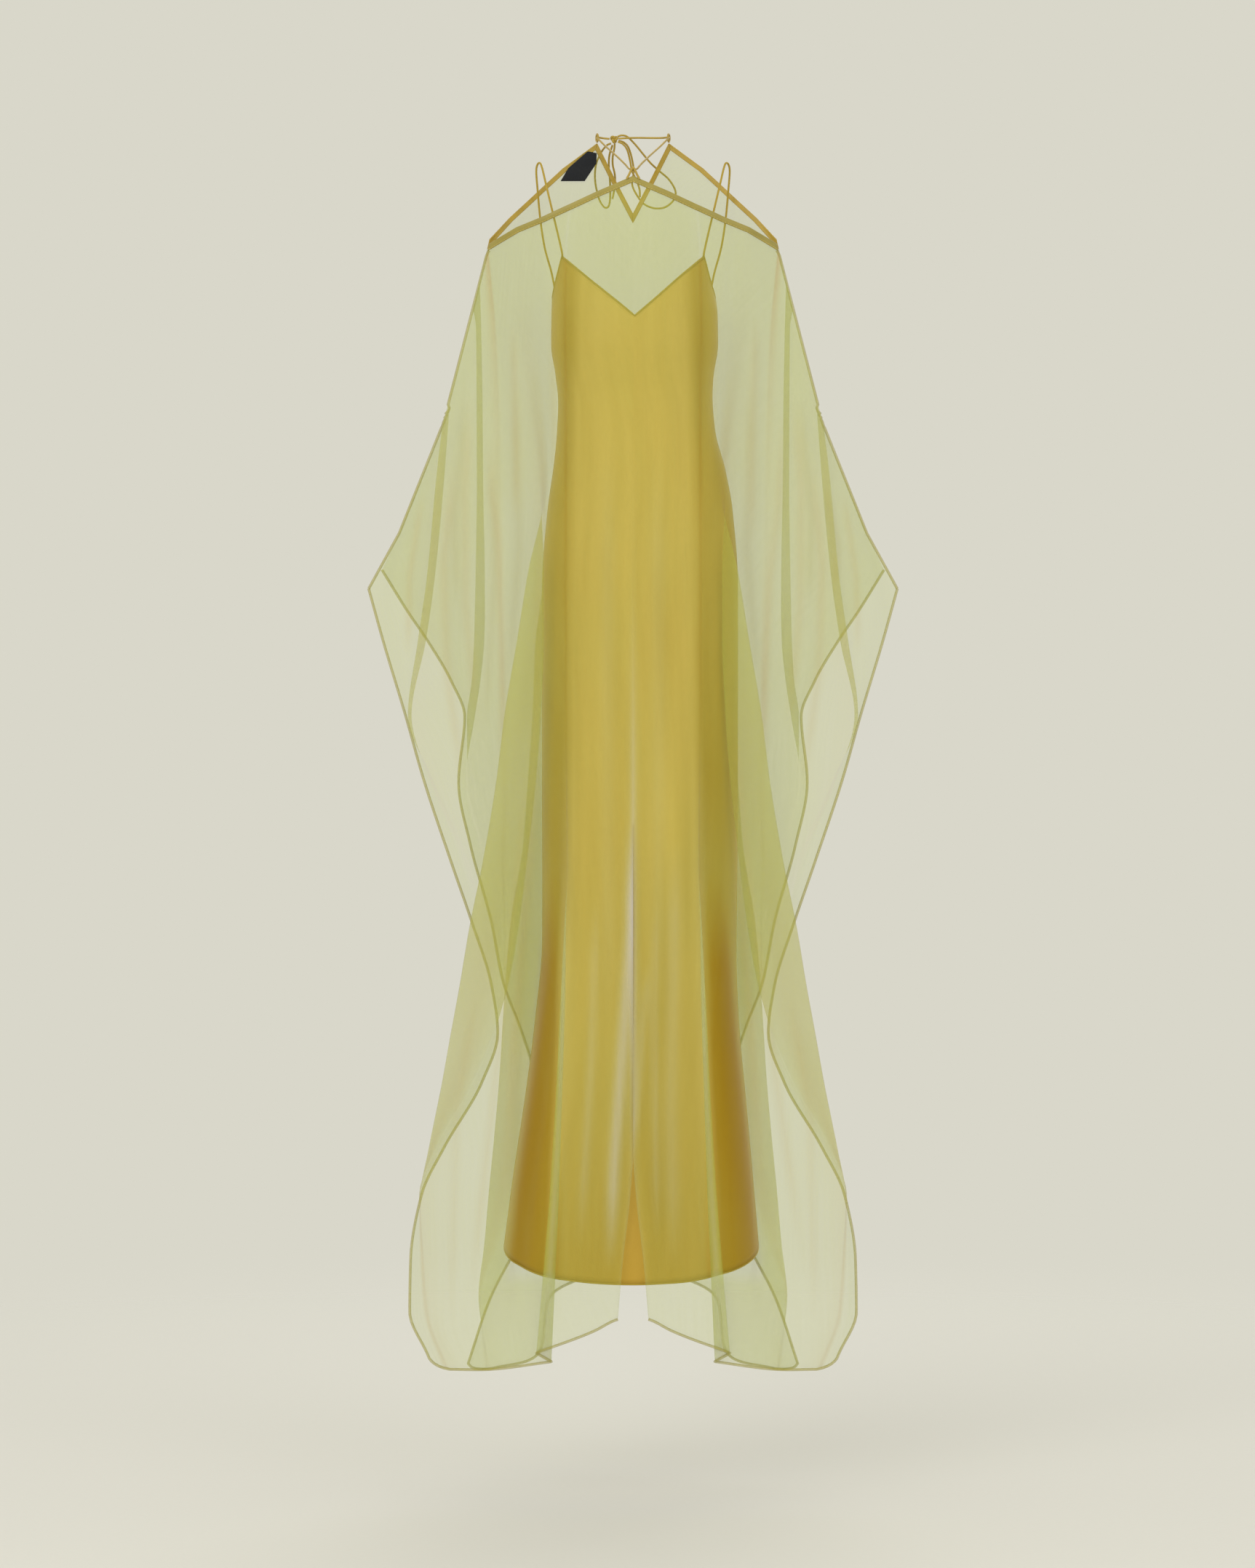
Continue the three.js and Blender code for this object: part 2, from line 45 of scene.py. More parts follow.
FRONT_BINDING_WIDTH = 0.0073
BACK_BINDING_WIDTH = 0.006
HEM_RADIUS = 0.0018
SEAM_RADIUS = 0.0019
CORD = 0.0026
STRAP = 0.0026
STITCH_LENGTH = 0.0026
STITCH_GAP = 0.0014
LABEL_THICK = 0.0008
LABEL_CROWN = 0.0008
LABEL_BEVEL = 0.0002
BINDING_CROWN = 0.0006
BINDING_STEPS = 5
BINDING_BEVEL = 0.35
BEVEL_ANGLE = math.radians(50)
THREAD_RADIUS = 0.00028
# How far down a binding its stitches lie, and how far they stand off it
STITCH_DOWN = 0.82
STITCH_LIFT = 0.0012
LOOP_RADIUS = 0.0012
TAB_RADIUS = 0.0015
KNOT_POINTS = 72
LOOP_POINTS = 40
KNOT_SIZE = 0.0014
KNOT_RADIUS = 0.0016
SLIP_EDGE_RADIUS = 0.0013
SLIP_HEM_RADIUS = 0.0010
SLIP_SEAM_RADIUS = 0.0009
MERGE_WITHIN = 0.00005
SHOULDER_OUT = 0.183
SEAM_STEP = 0.0015
SIDES = ((-1, "left"), (1, "right"))
FACES = ((-1, "front"), (1, "back"))

# Rows down a sheer panel, half of them above the waist level, and the width of one column of its net
PANEL_ROWS = 190
WAIST_LEVEL = -0.760
COLUMN_WIDTH = 0.0058
# Share of a panel's height over which its columns leave the straight lines of its top edge
STRAIGHT_TOP = 0.12
# Extra columns this far from a pressed fold, and how far its own column is drawn to its neighbours
FOLD_STEPS = (0.0012, 0.003)
FOLD_SOFTNESS = 0.45
SLIP_ROWS = 150
SLIP_COLUMNS = 84

# ---- Cut of the front panel, in millimetres
# Columns are its fold lines from the centre out: centre, middle, pleat front, pleat back, side,
# outer fold, inner fold, shoulder, sleeve pleat outer, sleeve pleat inner, sleeve, side hem.
# Each is [out, y], and edges are [out, y, z].
FRONT_FOLDED = (2, 3, 5, 6, 8, 9)
FRONT_EDGE = [
    [0, -52, -53], [46, -54, -73], [81, -51, -89], [86, -50, -91], [114, -42, -103], [148, -27, -115],
    [166, -14, -124], [183, -1.8, -133], [243, -6, -366], [234, -0.8, -342], [298, -0.8, -502],
    [337, -0.8, -573],
]
FRONT_SECTIONS = {
    -150: [[0, -86], [49, -83], [82, -70], [87, -68], [113, -57], [142, -38], [162, -22], [181, -6]],
    -240: [[0, -106], [51, -102], [83, -87], [88, -84], [110, -74], [130, -56], [150, -38], [176, -16]],
    -330: [[0, -108], [50, -104], [82, -93], [87, -90], [106, -79], [116, -68], [134, -52], [172, -24]],
    -430: [[0, -108], [50, -104], [82, -95], [87, -92], [104, -84], [108, -79], [120, -66], [170, -30],
           [250, -18], [240, -10]],
    -560: [[0, -110], [51, -107], [82, -98], [87, -95], [108, -88], [133, -84], [112, -72], [168, -34],
           [262, -26], [252, -17], [306, -12]],
    -640: [[0, -112], [51, -108], [82, -100], [86, -96], [111, -89], [146, -83], [112, -70], [166, -38],
           [273, -33], [263, -24], [296, -20], [318, -10]],
    -735: [[0, -114], [52, -111], [82, -103], [86, -99], [115, -91], [162, -82], [116, -67], [164, -42],
           [285.5, -35], [281, -30.5], [285, -27], [289, -22]],
    -815: [[0, -116], [52, -113], [82, -106], [84.5, -101], [120, -93], [172, -81], [122, -64], [162, -46],
           [254, -40], [258, -37], [262, -34], [266, -30]],
    -922: [[0, -120], [52, -117], [82, -114], [82.5, -107], [128, -95], [190, -79], [134, -60], [164, -50],
           [206, -45], [214, -43], [222, -41], [230, -39]],
    -1000: [[0, -123], [52, -120], [86, -118], [84, -110], [136, -97], [206, -78], [144, -58], [162, -53],
            [185, -49], [191, -47], [197, -45], [203, -43]],
    -1077: [[0, -126], [52, -123], [90, -122], [84.5, -114], [144, -99], [219, -78], [158, -61], [162, -58],
            [167, -55], [171, -52], [175, -49.5], [179, -47]],
    -1137: [[0, -128], [52, -126], [93, -125], [86, -116], [150, -101], [230, -79], [177, -67],
            [175, -63.5], [173.5, -60], [172.5, -57], [171.5, -53.5], [171, -50]],
    -1199: [[0, -131], [51, -129], [96, -127], [88, -118], [160, -103], [241, -80], [204, -70],
            [200, -67], [197, -64], [194.5, -61], [192.5, -58], [191, -55]],
    -1280: [[0, -134], [50, -132], [101, -130], [90.5, -121], [172, -105], [257, -83], [249, -77],
            [246, -73.5], [243.5, -70], [241.5, -67], [239.5, -64], [238, -61]],
    -1341: [[4, -136], [50, -134], [105, -132], [92.5, -123], [180, -107], [267, -87], [269, -82],
            [269, -78], [268.5, -74], [268, -70], [267.5, -66], [267, -62]],
    -1420: [[13, -138], [49, -136], [111.5, -136], [96, -126], [185, -109], [262, -92], [267, -89],
            [271, -86.5], [274, -84], [277, -81.5], [279, -79], [280, -76]],
    -1486: [[19, -140], [48, -138], [117, -138], [99, -128], [188, -112], [256, -97], [262, -94],
            [267, -91.5], [271, -89], [275, -86.5], [278, -84], [281, -81]],
}
FRONT_HEM = [
    [19, -140, -1489], [47, -138, -1503], [121, -139, -1531], [101.5, -129, -1543], [184, -112, -1555],
    [230, -101, -1556], [238, -98.5, -1554.5], [244, -96, -1552.5], [249, -94, -1550], [253, -92, -1547],
    [256, -90, -1543.5], [258, -88, -1539],
]

# ---- Cut of the back panel, in millimetres
# Columns from the centre out: centre, notch, peak, blade, hip, outer fold, inner fold, shoulder,
# sleeve pleat outer, sleeve pleat inner, sleeve, cuff, side hem.
BACK_FOLDED = (5, 6, 8, 9)
BACK_EDGE = [
    [0, 76, -85], [23, 66, -42], [46, 48, 2], [90, 43, -31], [112, 38, -52], [134, 28, -74], [158, 15, -98],
    [183, 1.8, -127], [204, 4, -216], [195.5, 8, -182], [239, 0.8, -356], [298, 0.8, -502], [320, 0.8, -549],
]
BACK_SECTIONS = {
    -150: [[0, 82], [26, 76], [52, 66], [92, 56], [112, 50], [132, 40], [154, 27], [180, 9]],
    -240: [[0, 86], [28, 84], [56, 78], [94, 68], [110, 60], [124, 50], [146, 36], [172, 20], [200.5, 7],
           [194, 15]],
    -330: [[0, 86], [28, 85], [56, 80], [92, 70], [106, 64], [116, 56], [134, 44], [164, 28], [200, 14],
           [192.5, 22]],
    -430: [[0, 92], [28, 90], [56, 84], [92, 74], [104, 68], [110, 62], [120, 50], [158, 34], [200, 22],
           [192, 31], [240, 14]],
    -560: [[0, 106], [28, 104], [56, 98], [94, 86], [106, 79], [116, 72], [114, 64], [154, 40], [202, 30],
           [190, 39], [246, 24], [290, 12]],
    -600: [[0, 107], [28, 105], [56, 99], [94, 87], [108, 80], [121, 73], [113, 65], [153, 42], [203, 32],
           [190, 41], [238, 30], [266, 25], [289, 20]],
    -640: [[0, 107], [28, 105], [56, 100], [95, 88], [110, 81], [126, 74], [112, 65], [152, 43], [204, 33],
           [191, 42], [226, 38], [246, 32], [262, 26]],
    -690: [[0, 107], [28, 105], [56, 100], [96, 89], [112, 82], [128, 75], [112, 65], [152, 44], [207, 33],
           [196, 42], [216, 41], [225, 38], [233, 33]],
    -735: [[0, 106], [28, 105], [56, 100], [96, 90], [113, 82], [130, 77], [112, 65], [152, 46], [213, 34],
           [203, 42], [208, 44], [212, 42], [216, 39]],
    -820: [[0, 105], [28, 104], [56, 100], [97, 90], [115, 83], [136, 78], [111, 66], [154, 48],
           [212, 38], [215, 41], [218, 43], [221, 44.5], [224, 46]],
    -900: [[0, 105], [28, 104], [56, 100], [98, 91], [118, 84], [142, 78], [111, 67], [154, 51], [192, 46],
           [197, 46.5], [201, 47], [205, 47.5], [209, 48]],
    -1000: [[0, 106], [28, 105], [56, 101], [99, 92], [122, 85], [158, 78], [112, 68], [146, 56],
            [166, 54], [170, 54], [174, 54], [178, 54], [182, 54]],
    -1077: [[0, 108], [28, 107], [56, 103], [100, 93], [124, 86], [165, 78], [112, 71], [138, 62],
            [151, 60], [155, 59.5], [159, 59], [163, 58.5], [167, 58]],
    -1137: [[0, 110], [28, 109], [56, 105], [101, 95], [126, 88], [169, 80], [109, 75], [125, 69],
            [132, 67.5], [135.5, 67], [139, 66.5], [142, 66], [145, 66]],
    -1199: [[0, 112], [28, 111], [56, 107], [102, 98], [128, 92], [173, 84], [108, 80], [112, 79],
            [115.5, 78.4], [118, 78], [120.5, 77.6], [123, 77.3], [126, 77]],
    -1280: [[0, 116], [28, 115], [56, 112], [103, 106], [130, 99], [180, 86], [120, 81], [116.5, 83],
            [114, 85], [112.5, 87], [111.5, 89], [111, 91], [111, 93]],
    -1341: [[0, 120], [29, 119], [58, 116], [104, 110], [130, 104], [186, 90], [146, 84], [136, 84],
            [130, 85], [126, 86], [122.5, 87.5], [119, 89.5], [116, 92]],
    -1420: [[0, 126], [30, 125], [59, 121], [104, 113], [128, 107], [193, 96], [176, 86], [170, 85],
            [166, 85], [162, 85.5], [158, 86.5], [154, 88], [150, 90]],
    -1486: [[0, 128], [30, 127], [60, 123], [104, 114], [126, 109], [200, 98], [198, 93], [195.5, 90],
            [193, 87.5], [190.5, 85.5], [188, 83.5], [186, 81.5], [184, 79.5]],
}
BACK_HEM = [
    [0, 128, -1440], [30, 127, -1447], [60, 123, -1462], [104, 114, -1484], [126, 110, -1565],
    [184, 98, -1580], [192, 95, -1580], [197.5, 92, -1579.5], [202, 90, -1579], [205.5, 88, -1578],
    [208.5, 86, -1576.5], [211, 84, -1574], [213, 82, -1571],
]

# Columns that end on the neck bindings; the others start on the sleeve seam
NECK_COLUMNS = 8
END_CLEAR = 8
SEAM_LEAN = 0.25

# ---- Creases in the sheer panels, in millimetres
# Columns: the two fold lines that its layer lies between, its side (-1 left, 1 right, 0 both), its
# lift outwards from the body (negative in a trough), its width, the strength of its painted mark (a pale
# painted highlight for layers inside fold line 3, tan painted shade for the others), and its line as [out, z]
FRONT_CREASES = [
    [0, 2.4, 0, 2.6, 13, 0.1, [[30, -390], [32, -700], [30, -1130]]],
    [0, 2.4, -1, 3.4, 11, 0.5, [[2, -870], [3, -1000], [10, -1100], [17, -1200], [24, -1300], [29, -1430]]],
    [0, 2.4, 1, 3.0, 13, 0.2, [[52, -890], [50, -1060], [47, -1230], [51, -1430]]],
    [0, 2.4, -1, -2.4, 9, 0.2, [[46, -960], [52, -1160], [66, -1400]]],
    [0, 1.4, 1, 3.0, 8, 0.2, [[21, -1040], [13, -1115], [6, -1200], [-2, -1290]]],
    [0, 2.4, 1, -2.0, 8, 0.2, [[30, -930], [26, -1100], [30, -1400]]],
    [3, 5.2, 0, 2.6, 9, 0.2, [[112, -420], [120, -700], [132, -930], [150, -1150], [164, -1400]]],
    [3, 5.2, -1, -2.2, 8, 0.2, [[128, -760], [160, -1080], [205, -1480]]],
    [3, 5.2, 1, -2.8, 9, 0.2, [[120, -680], [150, -990], [216, -1440]]],
    [3, 5.2, 0, 2.4, 8, 0.15, [[196, -1080], [222, -1240], [228, -1500]]],
    [5.6, 8.4, -1, 3.2, 7, 0.2, [[152, -235], [150, -330], [148, -420], [148, -490]]],
    [5.6, 8.4, 1, 2.8, 8, 0.2, [[156, -225], [152, -360], [150, -520]]],
    [6, 8.4, -1, 3.4, 7, 0.2, [[184, -375], [180, -453], [171, -510], [168, -590], [164, -730], [168, -780]]],
    [6, 8.4, 1, 3.0, 8, 0.2, [[190, -350], [184, -470], [174, -560], [166, -700], [166, -800]]],
    [6, 8.4, 0, -2.4, 9, 0.2, [[206, -320], [214, -450], [212, -600], [196, -760]]],
    [6, 8.4, 0, 2.4, 9, 0.2, [[226, -400], [240, -540], [236, -680], [214, -830]]],
    [9, 11.2, 0, 2.2, 7, 0.2, [[268, -450], [284, -560], [286, -660]]],
    [0, 5.2, 0, -1.6, 10, 0.05, [[66, -140], [64, -420], [68, -860]]],
    [3, 5.6, -1, 2.2, 8, 0.15, [[100, -180], [100, -340], [96, -460]]],
    [3, 5.6, 1, 2.0, 9, 0.15, [[104, -170], [98, -360], [98, -500]]],
]
BACK_CREASES = [
    [0, 3, 1, 3.0, 12, 0.2, [[18, -200], [22, -600], [30, -1080]]],
    [0, 3, -1, 3.2, 11, 0.2, [[24, -260], [18, -640], [34, -1200]]],
    [1, 4, 0, -2.8, 11, 0.2, [[60, -300], [58, -760], [70, -1300]]],
    [2, 5.2, 0, 3.2, 10, 0.2, [[84, -220], [82, -700], [92, -1400]]],
    [2, 5.2, 1, -2.6, 9, 0.2, [[104, -400], [112, -900], [124, -1420]]],
    [0, 2.6, -1, -2.6, 12, 0.2, [[6, -900], [14, -1180], [10, -1420]]],
    [0, 2.6, 1, 2.4, 10, 0.2, [[44, -980], [46, -1200], [40, -1430]]],
    [3, 5.2, 0, 2.6, 8, 0.2, [[132, -900], [148, -1160], [160, -1520]]],
    [6, 8.4, 0, 2.4, 9, 0.2, [[150, -300], [146, -520], [160, -700]]],
    [6, 8.4, -1, 2.4, 8, 0.2, [[176, -380], [178, -560], [190, -760]]],
    [9, 12.2, 0, 2.4, 8, 0.2, [[214, -330], [228, -480], [226, -600]]],
    [9, 12.2, 1, -2.0, 8, 0.2, [[246, -440], [262, -520], [258, -580]]],
]
CREASE_FADE = 0.18
# Fold lines over which a crease fades at its layer's edges, and how much more it lifts on the right
CREASE_SHOULDER = 0.3
CREASE_UNEVEN = 0.12
# A crease's painted mark is this share of its width across, and from this fold line out the mark is tan
# painted shade instead of a pale painted highlight
CREST = 0.7
FOLD_SHADE_FROM = 3
# Pressed folds: the kind of painted mark (pale painted highlight, which thins the cloth where negative; tan
# painted shade), the fold line, how far its mark reaches in fold lines, and its strength from top to hem
FRONT_FOLDS = [
    ("crest_highlight", 0, 0.09, [0, 0, 0, 0.05, 0.3, 0.5, 0.55, 0.2, 0.1]),
    ("crest_highlight", 2.5, 0.5, [-0.15, -0.15, -0.15, -0.1, 0, 0.4, 0.7, 0.75, 0.6]),
    ("fold_shade", 5.5, 0.55, [0, 0.05, 0.2, 0.3, 0.35, 0.35, 0.33, 0.33, 0.28]),
    ("fold_shade", 7, 0.06, [0.5, 0.2, 0.1, 0.1, 0.15, 0.2, 0.2, 0.1, 0.1]),
    ("fold_shade", 8.5, 0.5, [0.3, 0.4, 0.4, 0.4, 0.3, 0.1, 0, 0, 0]),
    ("crest_highlight", 8.5, 0.5, [-0.2, -0.26, -0.26, -0.26, -0.2, -0.1, 0, 0, 0]),
]
# Pressed folds of the back panel, with the same painted marks
BACK_FOLDS = [
    ("fold_shade", 5.5, 0.5, [0, 0.05, 0.2, 0.3, 0.32, 0.32, 0.3, 0.25, 0.2]),
    ("fold_shade", 8.5, 0.5, [0.2, 0.3, 0.3, 0.3, 0.2, 0.1, 0, 0, 0]),
    ("crest_highlight", 8.5, 0.5, [-0.2, -0.26, -0.26, -0.26, -0.2, -0.1, 0, 0, 0]),
]
# The front panel lies thinnest over the slip's sides: levels, and how far out its thin part ends there
THIN_SIDES = [[900, 106], [950, 114], [1022, 123], [1122, 131], [1222, 141], [1322, 153], [1440, 166]]
THIN_FROM = 88
THIN_EDGE = 10
# Levels where the thin part starts, where it ends, and how far it fades at each
THIN_TOP, THIN_TOP_FADE = 930, 120
THIN_END, THIN_END_FADE = 1450, 20
THIN_STRENGTH = -0.34
SLIP_LEAN = 3

# ---- Slip, in millimetres
# Level, centre to the wearer's left, half width, and depth of its front and back
SLIP_SECTIONS = [
    [-130, 0, 97, 60, 54], [-178, 0, 101, 82, 62], [-225, 2, 105, 94, 67], [-262, 2, 105.5, 96, 68],
    [-300, 2, 100, 90, 66], [-332, 3, 97.5, 84, 64], [-372, 4, 100, 82, 66], [-422, 8, 109, 86, 76],
    [-472, 9, 117, 92, 88], [-572, 9, 124, 97, 95], [-822, 9, 124, 100, 92], [-1022, 8, 123, 104, 94],
    [-1122, 5, 129, 108, 98], [-1222, 3, 140, 113, 102], [-1322, 0, 152, 119, 109],
    [-1450, -3, 166, 126, 119],
]
SLIP_ROUNDNESS = 2.2
V_TIP = -234
STRAP_POINT = -153
STRAP_AT = 0.91
UNDERARM = -202
BACK_DIP = 38
SLIP_SIDE_HEM = -1410
SLIP_FRONT_DIP = 37
SLIP_BACK_DIP = 22
# Level below the nape, and how far out the slip's sides turn away there, where their painted shade begins
SLIP_SIDES = [
    [150, 68], [260, 72], [330, 74], [600, 80], [925, 83], [1040, 89], [1150, 93], [1280, 100], [1450, 106],
]
SLIP_SIDE_BLEND = 0.014
# Depth of the painted shade on the sides at three levels, and of the darkening towards the hem from its start
# over its span
SLIP_SIDE_DEPTHS = ([0.25, 0.5, 0.8], [0.65, 0.6, 1])
SLIP_HEM_DEPTH, SLIP_HEM_FROM, SLIP_HEM_SPAN = 0.7, 1.05, 0.42
# Soft patches of painted shade on the slip's front: x, z, width, height and depth
SLIP_SHADES = [
    [26, -1320, 17, 95, 0.45], [38, -1080, 15, 110, 0.22], [44, -640, 16, 90, 0.2],
    [-22, -860, 12, 120, 0.18], [-58, -1180, 12, 130, 0.15], [66, -880, 12, 150, 0.2],
    [-70, -700, 14, 170, 0.2], [-82, -260, 15, 45, 0.35], [88, -260, 14, 45, 0.35],
    [-52, -420, 12, 90, 0.12],
]
# Drapes of the slip: which face (-1 front, 1 back), the turn from its centre in degrees at the
# top and at the bottom, the levels it runs from and to, its lift, and its width in degrees
SLIP_DRAPES = [
    [-1, -30, -38, -330, -1440, 2.6, 7], [-1, -12, -20, -420, -1440, -2.4, 8],
    [-1, 8, 2, -600, -1440, 2.2, 8], [-1, 24, 22, -360, -1440, 2.8, 7], [-1, 44, 40, -480, -1440, -2.6, 7],
    [-1, -52, -58, -500, -1440, -2.2, 7], [-1, -24, -8, -250, -380, -1.4, 6],
    [-1, 22, 10, -250, -380, -1.4, 6], [1, -34, -30, -420, -1430, 2.8, 8],
    [1, -10, -6, -520, -1430, -2.4, 9], [1, 16, 20, -400, -1430, 2.6, 7], [1, 46, 44, -560, -1430, -2.6, 8],
    [1, -6, 14, -260, -400, 1.6, 7],
]
STRAP_ROUTE = [
    [90, -39, -148.6], [94, -33, -130], [102, -25, -96], [110, -14, -62], [115.5, -6, -38], [118.5, 0, -30],
    [122, 5, -31.5], [123.5, 9, -40], [122, 16, -62], [118.5, 25, -100], [113, 30, -135], [104, 31, -168],
    [98, 28, -199.5],
]

# Where a strap is sewn to the point of the slip's front
STRAP_SEAM = [89.5, -35.5, -155]

# ---- Tie cord's routes, in millimetres
KNOT = [-24, 51, 7.5]
TIE_RUN = [
    [-30.2, 50, 7.8], [-36, 51, 8.4], [-41.5, 51.2, 9.2], [-45, 49.5, 9.5], [-46, 46.5, 9], [-45, 42, 7],
    [-42, 35, 3], [-34, 18, -7], [-22, -8, -21], [-10, -34, -36], [-5, -46, -43.2], [0, -51.5, -45.5],
    [5, -46, -43.2], [10, -34, -36], [22, -8, -21], [34, 18, -7], [42, 35, 3],
    [45, 42, 7], [46, 46.5, 9], [45, 49.5, 9.5], [41.5, 51.2, 9.4], [34, 50, 8.8], [20, 48, 8.6],
    [4, 47, 8.6], [-10, 47, 8.2], [-18.4, 48, 7.8],
]
BOW_LEFT = [
    [-28.5, 54, 2.4], [-34, 57, 0], [-41, 63, -8], [-47, 73, -20], [-49, 80, -32], [-48.5, 84, -45],
    [-46, 86, -57], [-42.5, 87, -68], [-36.5, 87, -76], [-31.5, 86.5, -74.5], [-29.5, 86, -64],
    [-29.5, 83, -45], [-31, 76, -27], [-30.5, 67, -12], [-26.5, 57.8, 0.6],
]
BOW_RIGHT = [
    [-19.6, 53, 11.2], [-14, 54.5, 12.8], [-7, 55, 11], [3, 58, 1.5], [13, 63, -10], [23, 70, -21],
    [34, 77, -30], [47, 82, -41], [55, 85, -55], [53, 86.5, -66], [42, 87, -75.5], [28, 87, -77],
    [15, 86, -72], [5.5, 84, -61], [-1, 79, -47], [1, 71, -31], [-1.5, 63, -15], [-6, 57, -2],
    [-12, 55, 4], [-18.6, 54.4, 6],
]
END_LEFT = [
    [-23.5, 53.5, 1.6], [-24, 58, -4], [-26, 65, -13], [-26, 71, -23], [-23.5, 75, -34], [-23, 78, -45],
    [-24.5, 79, -56], [-26.5, 79, -66],
]
END_RIGHT = [
    [-19.4, 48, 3.8], [-13, 49, 1], [-7.5, 51, -6], [-4, 57, -18], [-1, 64, -32], [5, 71, -44],
    [8.5, 75, -54], [9, 77, -64],
]
# Route, length in metres, far end and lay of each stretch of the tie
TIE = {
    "tie_run": (TIE_RUN, 0.331, "knot", "taut"),
    "tie_bow_left": (BOW_LEFT, 0.187, "knot", "hanging"),
    "tie_bow_right": (BOW_RIGHT, 0.263, "knot", "hanging"),
    "tie_end_left": (END_LEFT, 0.0755, "bare", "hanging"),
    "tie_end_right": (END_RIGHT, 0.083, "bare", "hanging"),
}
# Side loops, and the front loop's route
LOOP_CENTRE = [46, 46.5, 9]
LOOP_REACH = 5.0
LOOP_NARROWING = 0.12
LOOP_LEAN = 0.25
FRONT_LOOP = [
    [-8, -54.2, -57], [-5.5, -54.2, -52.5], [-2.6, -54, -46.5], [0, -53.4, -42.6], [2.6, -54, -46.5],
    [5.5, -54.2, -52.5], [8, -54.2, -57],
]
# The label's corners, two a row: [x, z] of its outer and inner edge
LABEL_ROWS = [[[-58, -9], [-46.5, -11]], [[-83, -31], [-47, -24]], [[-93, -48], [-62, -47]]]
LABEL_LIFT = 0.0024
LABEL_GRID = (17, 13)

# ---- Camera, light and floor
EYE = (-0.007, -6.0, -0.822)
FRAME_HEIGHT = 2.0
SENSOR = 36.0
FLOOR_LEVEL = -1.72
FLOOR_RADIUS = 3.2
LAMP_SIZE = 4.2
LAMP_AIM = (0, 0, -0.75)
LAMP_COLOUR = (1, 0.985, 0.955)
SKY_COLOUR = (1, 0.985, 0.95, 1)
SKY_STRENGTH = 0.72


def dye(red, green, blue):
    """A colour as the eye reads it, 0 to 255, as the linear colour a shader takes."""
    parts = [value / 255 for value in (red, green, blue)]
    return [p / 12.92 if p <= 0.04045 else ((p + 0.055) / 1.055) ** 2.4 for p in parts] + [1.0]


BACKDROP = dye(217, 215, 202)


def set_camera():
    data = bpy.data.cameras.new("camera")
    data.sensor_width = SENSOR
    data.lens = SENSOR * -EYE[1] / FRAME_HEIGHT
    data.clip_end = 60
    camera = bpy.data.objects.new("camera", data)
    camera.location = EYE
    camera.rotation_euler = (math.pi / 2, 0, 0)
    bpy.context.collection.objects.link(camera)
    bpy.context.scene.camera = camera


def soft_light(name, place, power):
    data = bpy.data.lights.new(name, "AREA")
    data.shape = "DISK"
    data.size = LAMP_SIZE
    data.energy = power
    data.color = LAMP_COLOUR
    lamp = bpy.data.objects.new(name, data)
    lamp.location = place
    lamp.rotation_euler = (Vector(LAMP_AIM) - Vector(place)).to_track_quat("-Z", "Y").to_euler()
    bpy.context.collection.objects.link(lamp)


def set_lights():
    soft_light("key", (-2.6, -4.6, 1.6), 125)
    soft_light("fill", (3.2, -4.2, 0.2), 65)
    soft_light("rim", (0.6, 4.2, 2.2), 80)
    world = bpy.data.worlds.new("studio")
    bpy.context.scene.world = world
    world.use_nodes = True
    nodes, links = world.node_tree.nodes, world.node_tree.links
    seen = nodes["Background"]
    seen.inputs["Color"].default_value = BACKDROP
    seen.inputs["Strength"].default_value = 1.0
    lit = nodes.new("ShaderNodeBackground")
    lit.inputs["Color"].default_value = SKY_COLOUR
    lit.inputs["Strength"].default_value = SKY_STRENGTH
    path = nodes.new("ShaderNodeLightPath")
    either = nodes.new("ShaderNodeMixShader")
    links.new(path.outputs["Is Camera Ray"], either.inputs["Fac"])
    links.new(lit.outputs["Background"], either.inputs[1])
    links.new(seen.outputs["Background"], either.inputs[2])
    links.new(either.outputs["Shader"], nodes["World Output"].inputs["Surface"])
    scene = bpy.context.scene
    scene.view_settings.view_transform = "Standard"
    scene.cycles.transparent_max_bounces = 40


# ---- Finishes
class Value:
    """A shader socket on which arithmetic adds Math nodes."""

    def __init__(self, finish, socket):
        self.finish = finish
        self.socket = socket

    def maths(self, operation, first, second=0.0):
        return self.finish.node("ShaderNodeMath", {"operation": operation}, {0: first, 1: second})

    def __add__(self, other):
        return self.maths("ADD", self, other)

    def __radd__(self, other):
        return self.maths("ADD", other, self)

    def __mul__(self, other):
        return self.maths("MULTIPLY", self, other)

    def __rmul__(self, other):
        return self.maths("MULTIPLY", other, self)


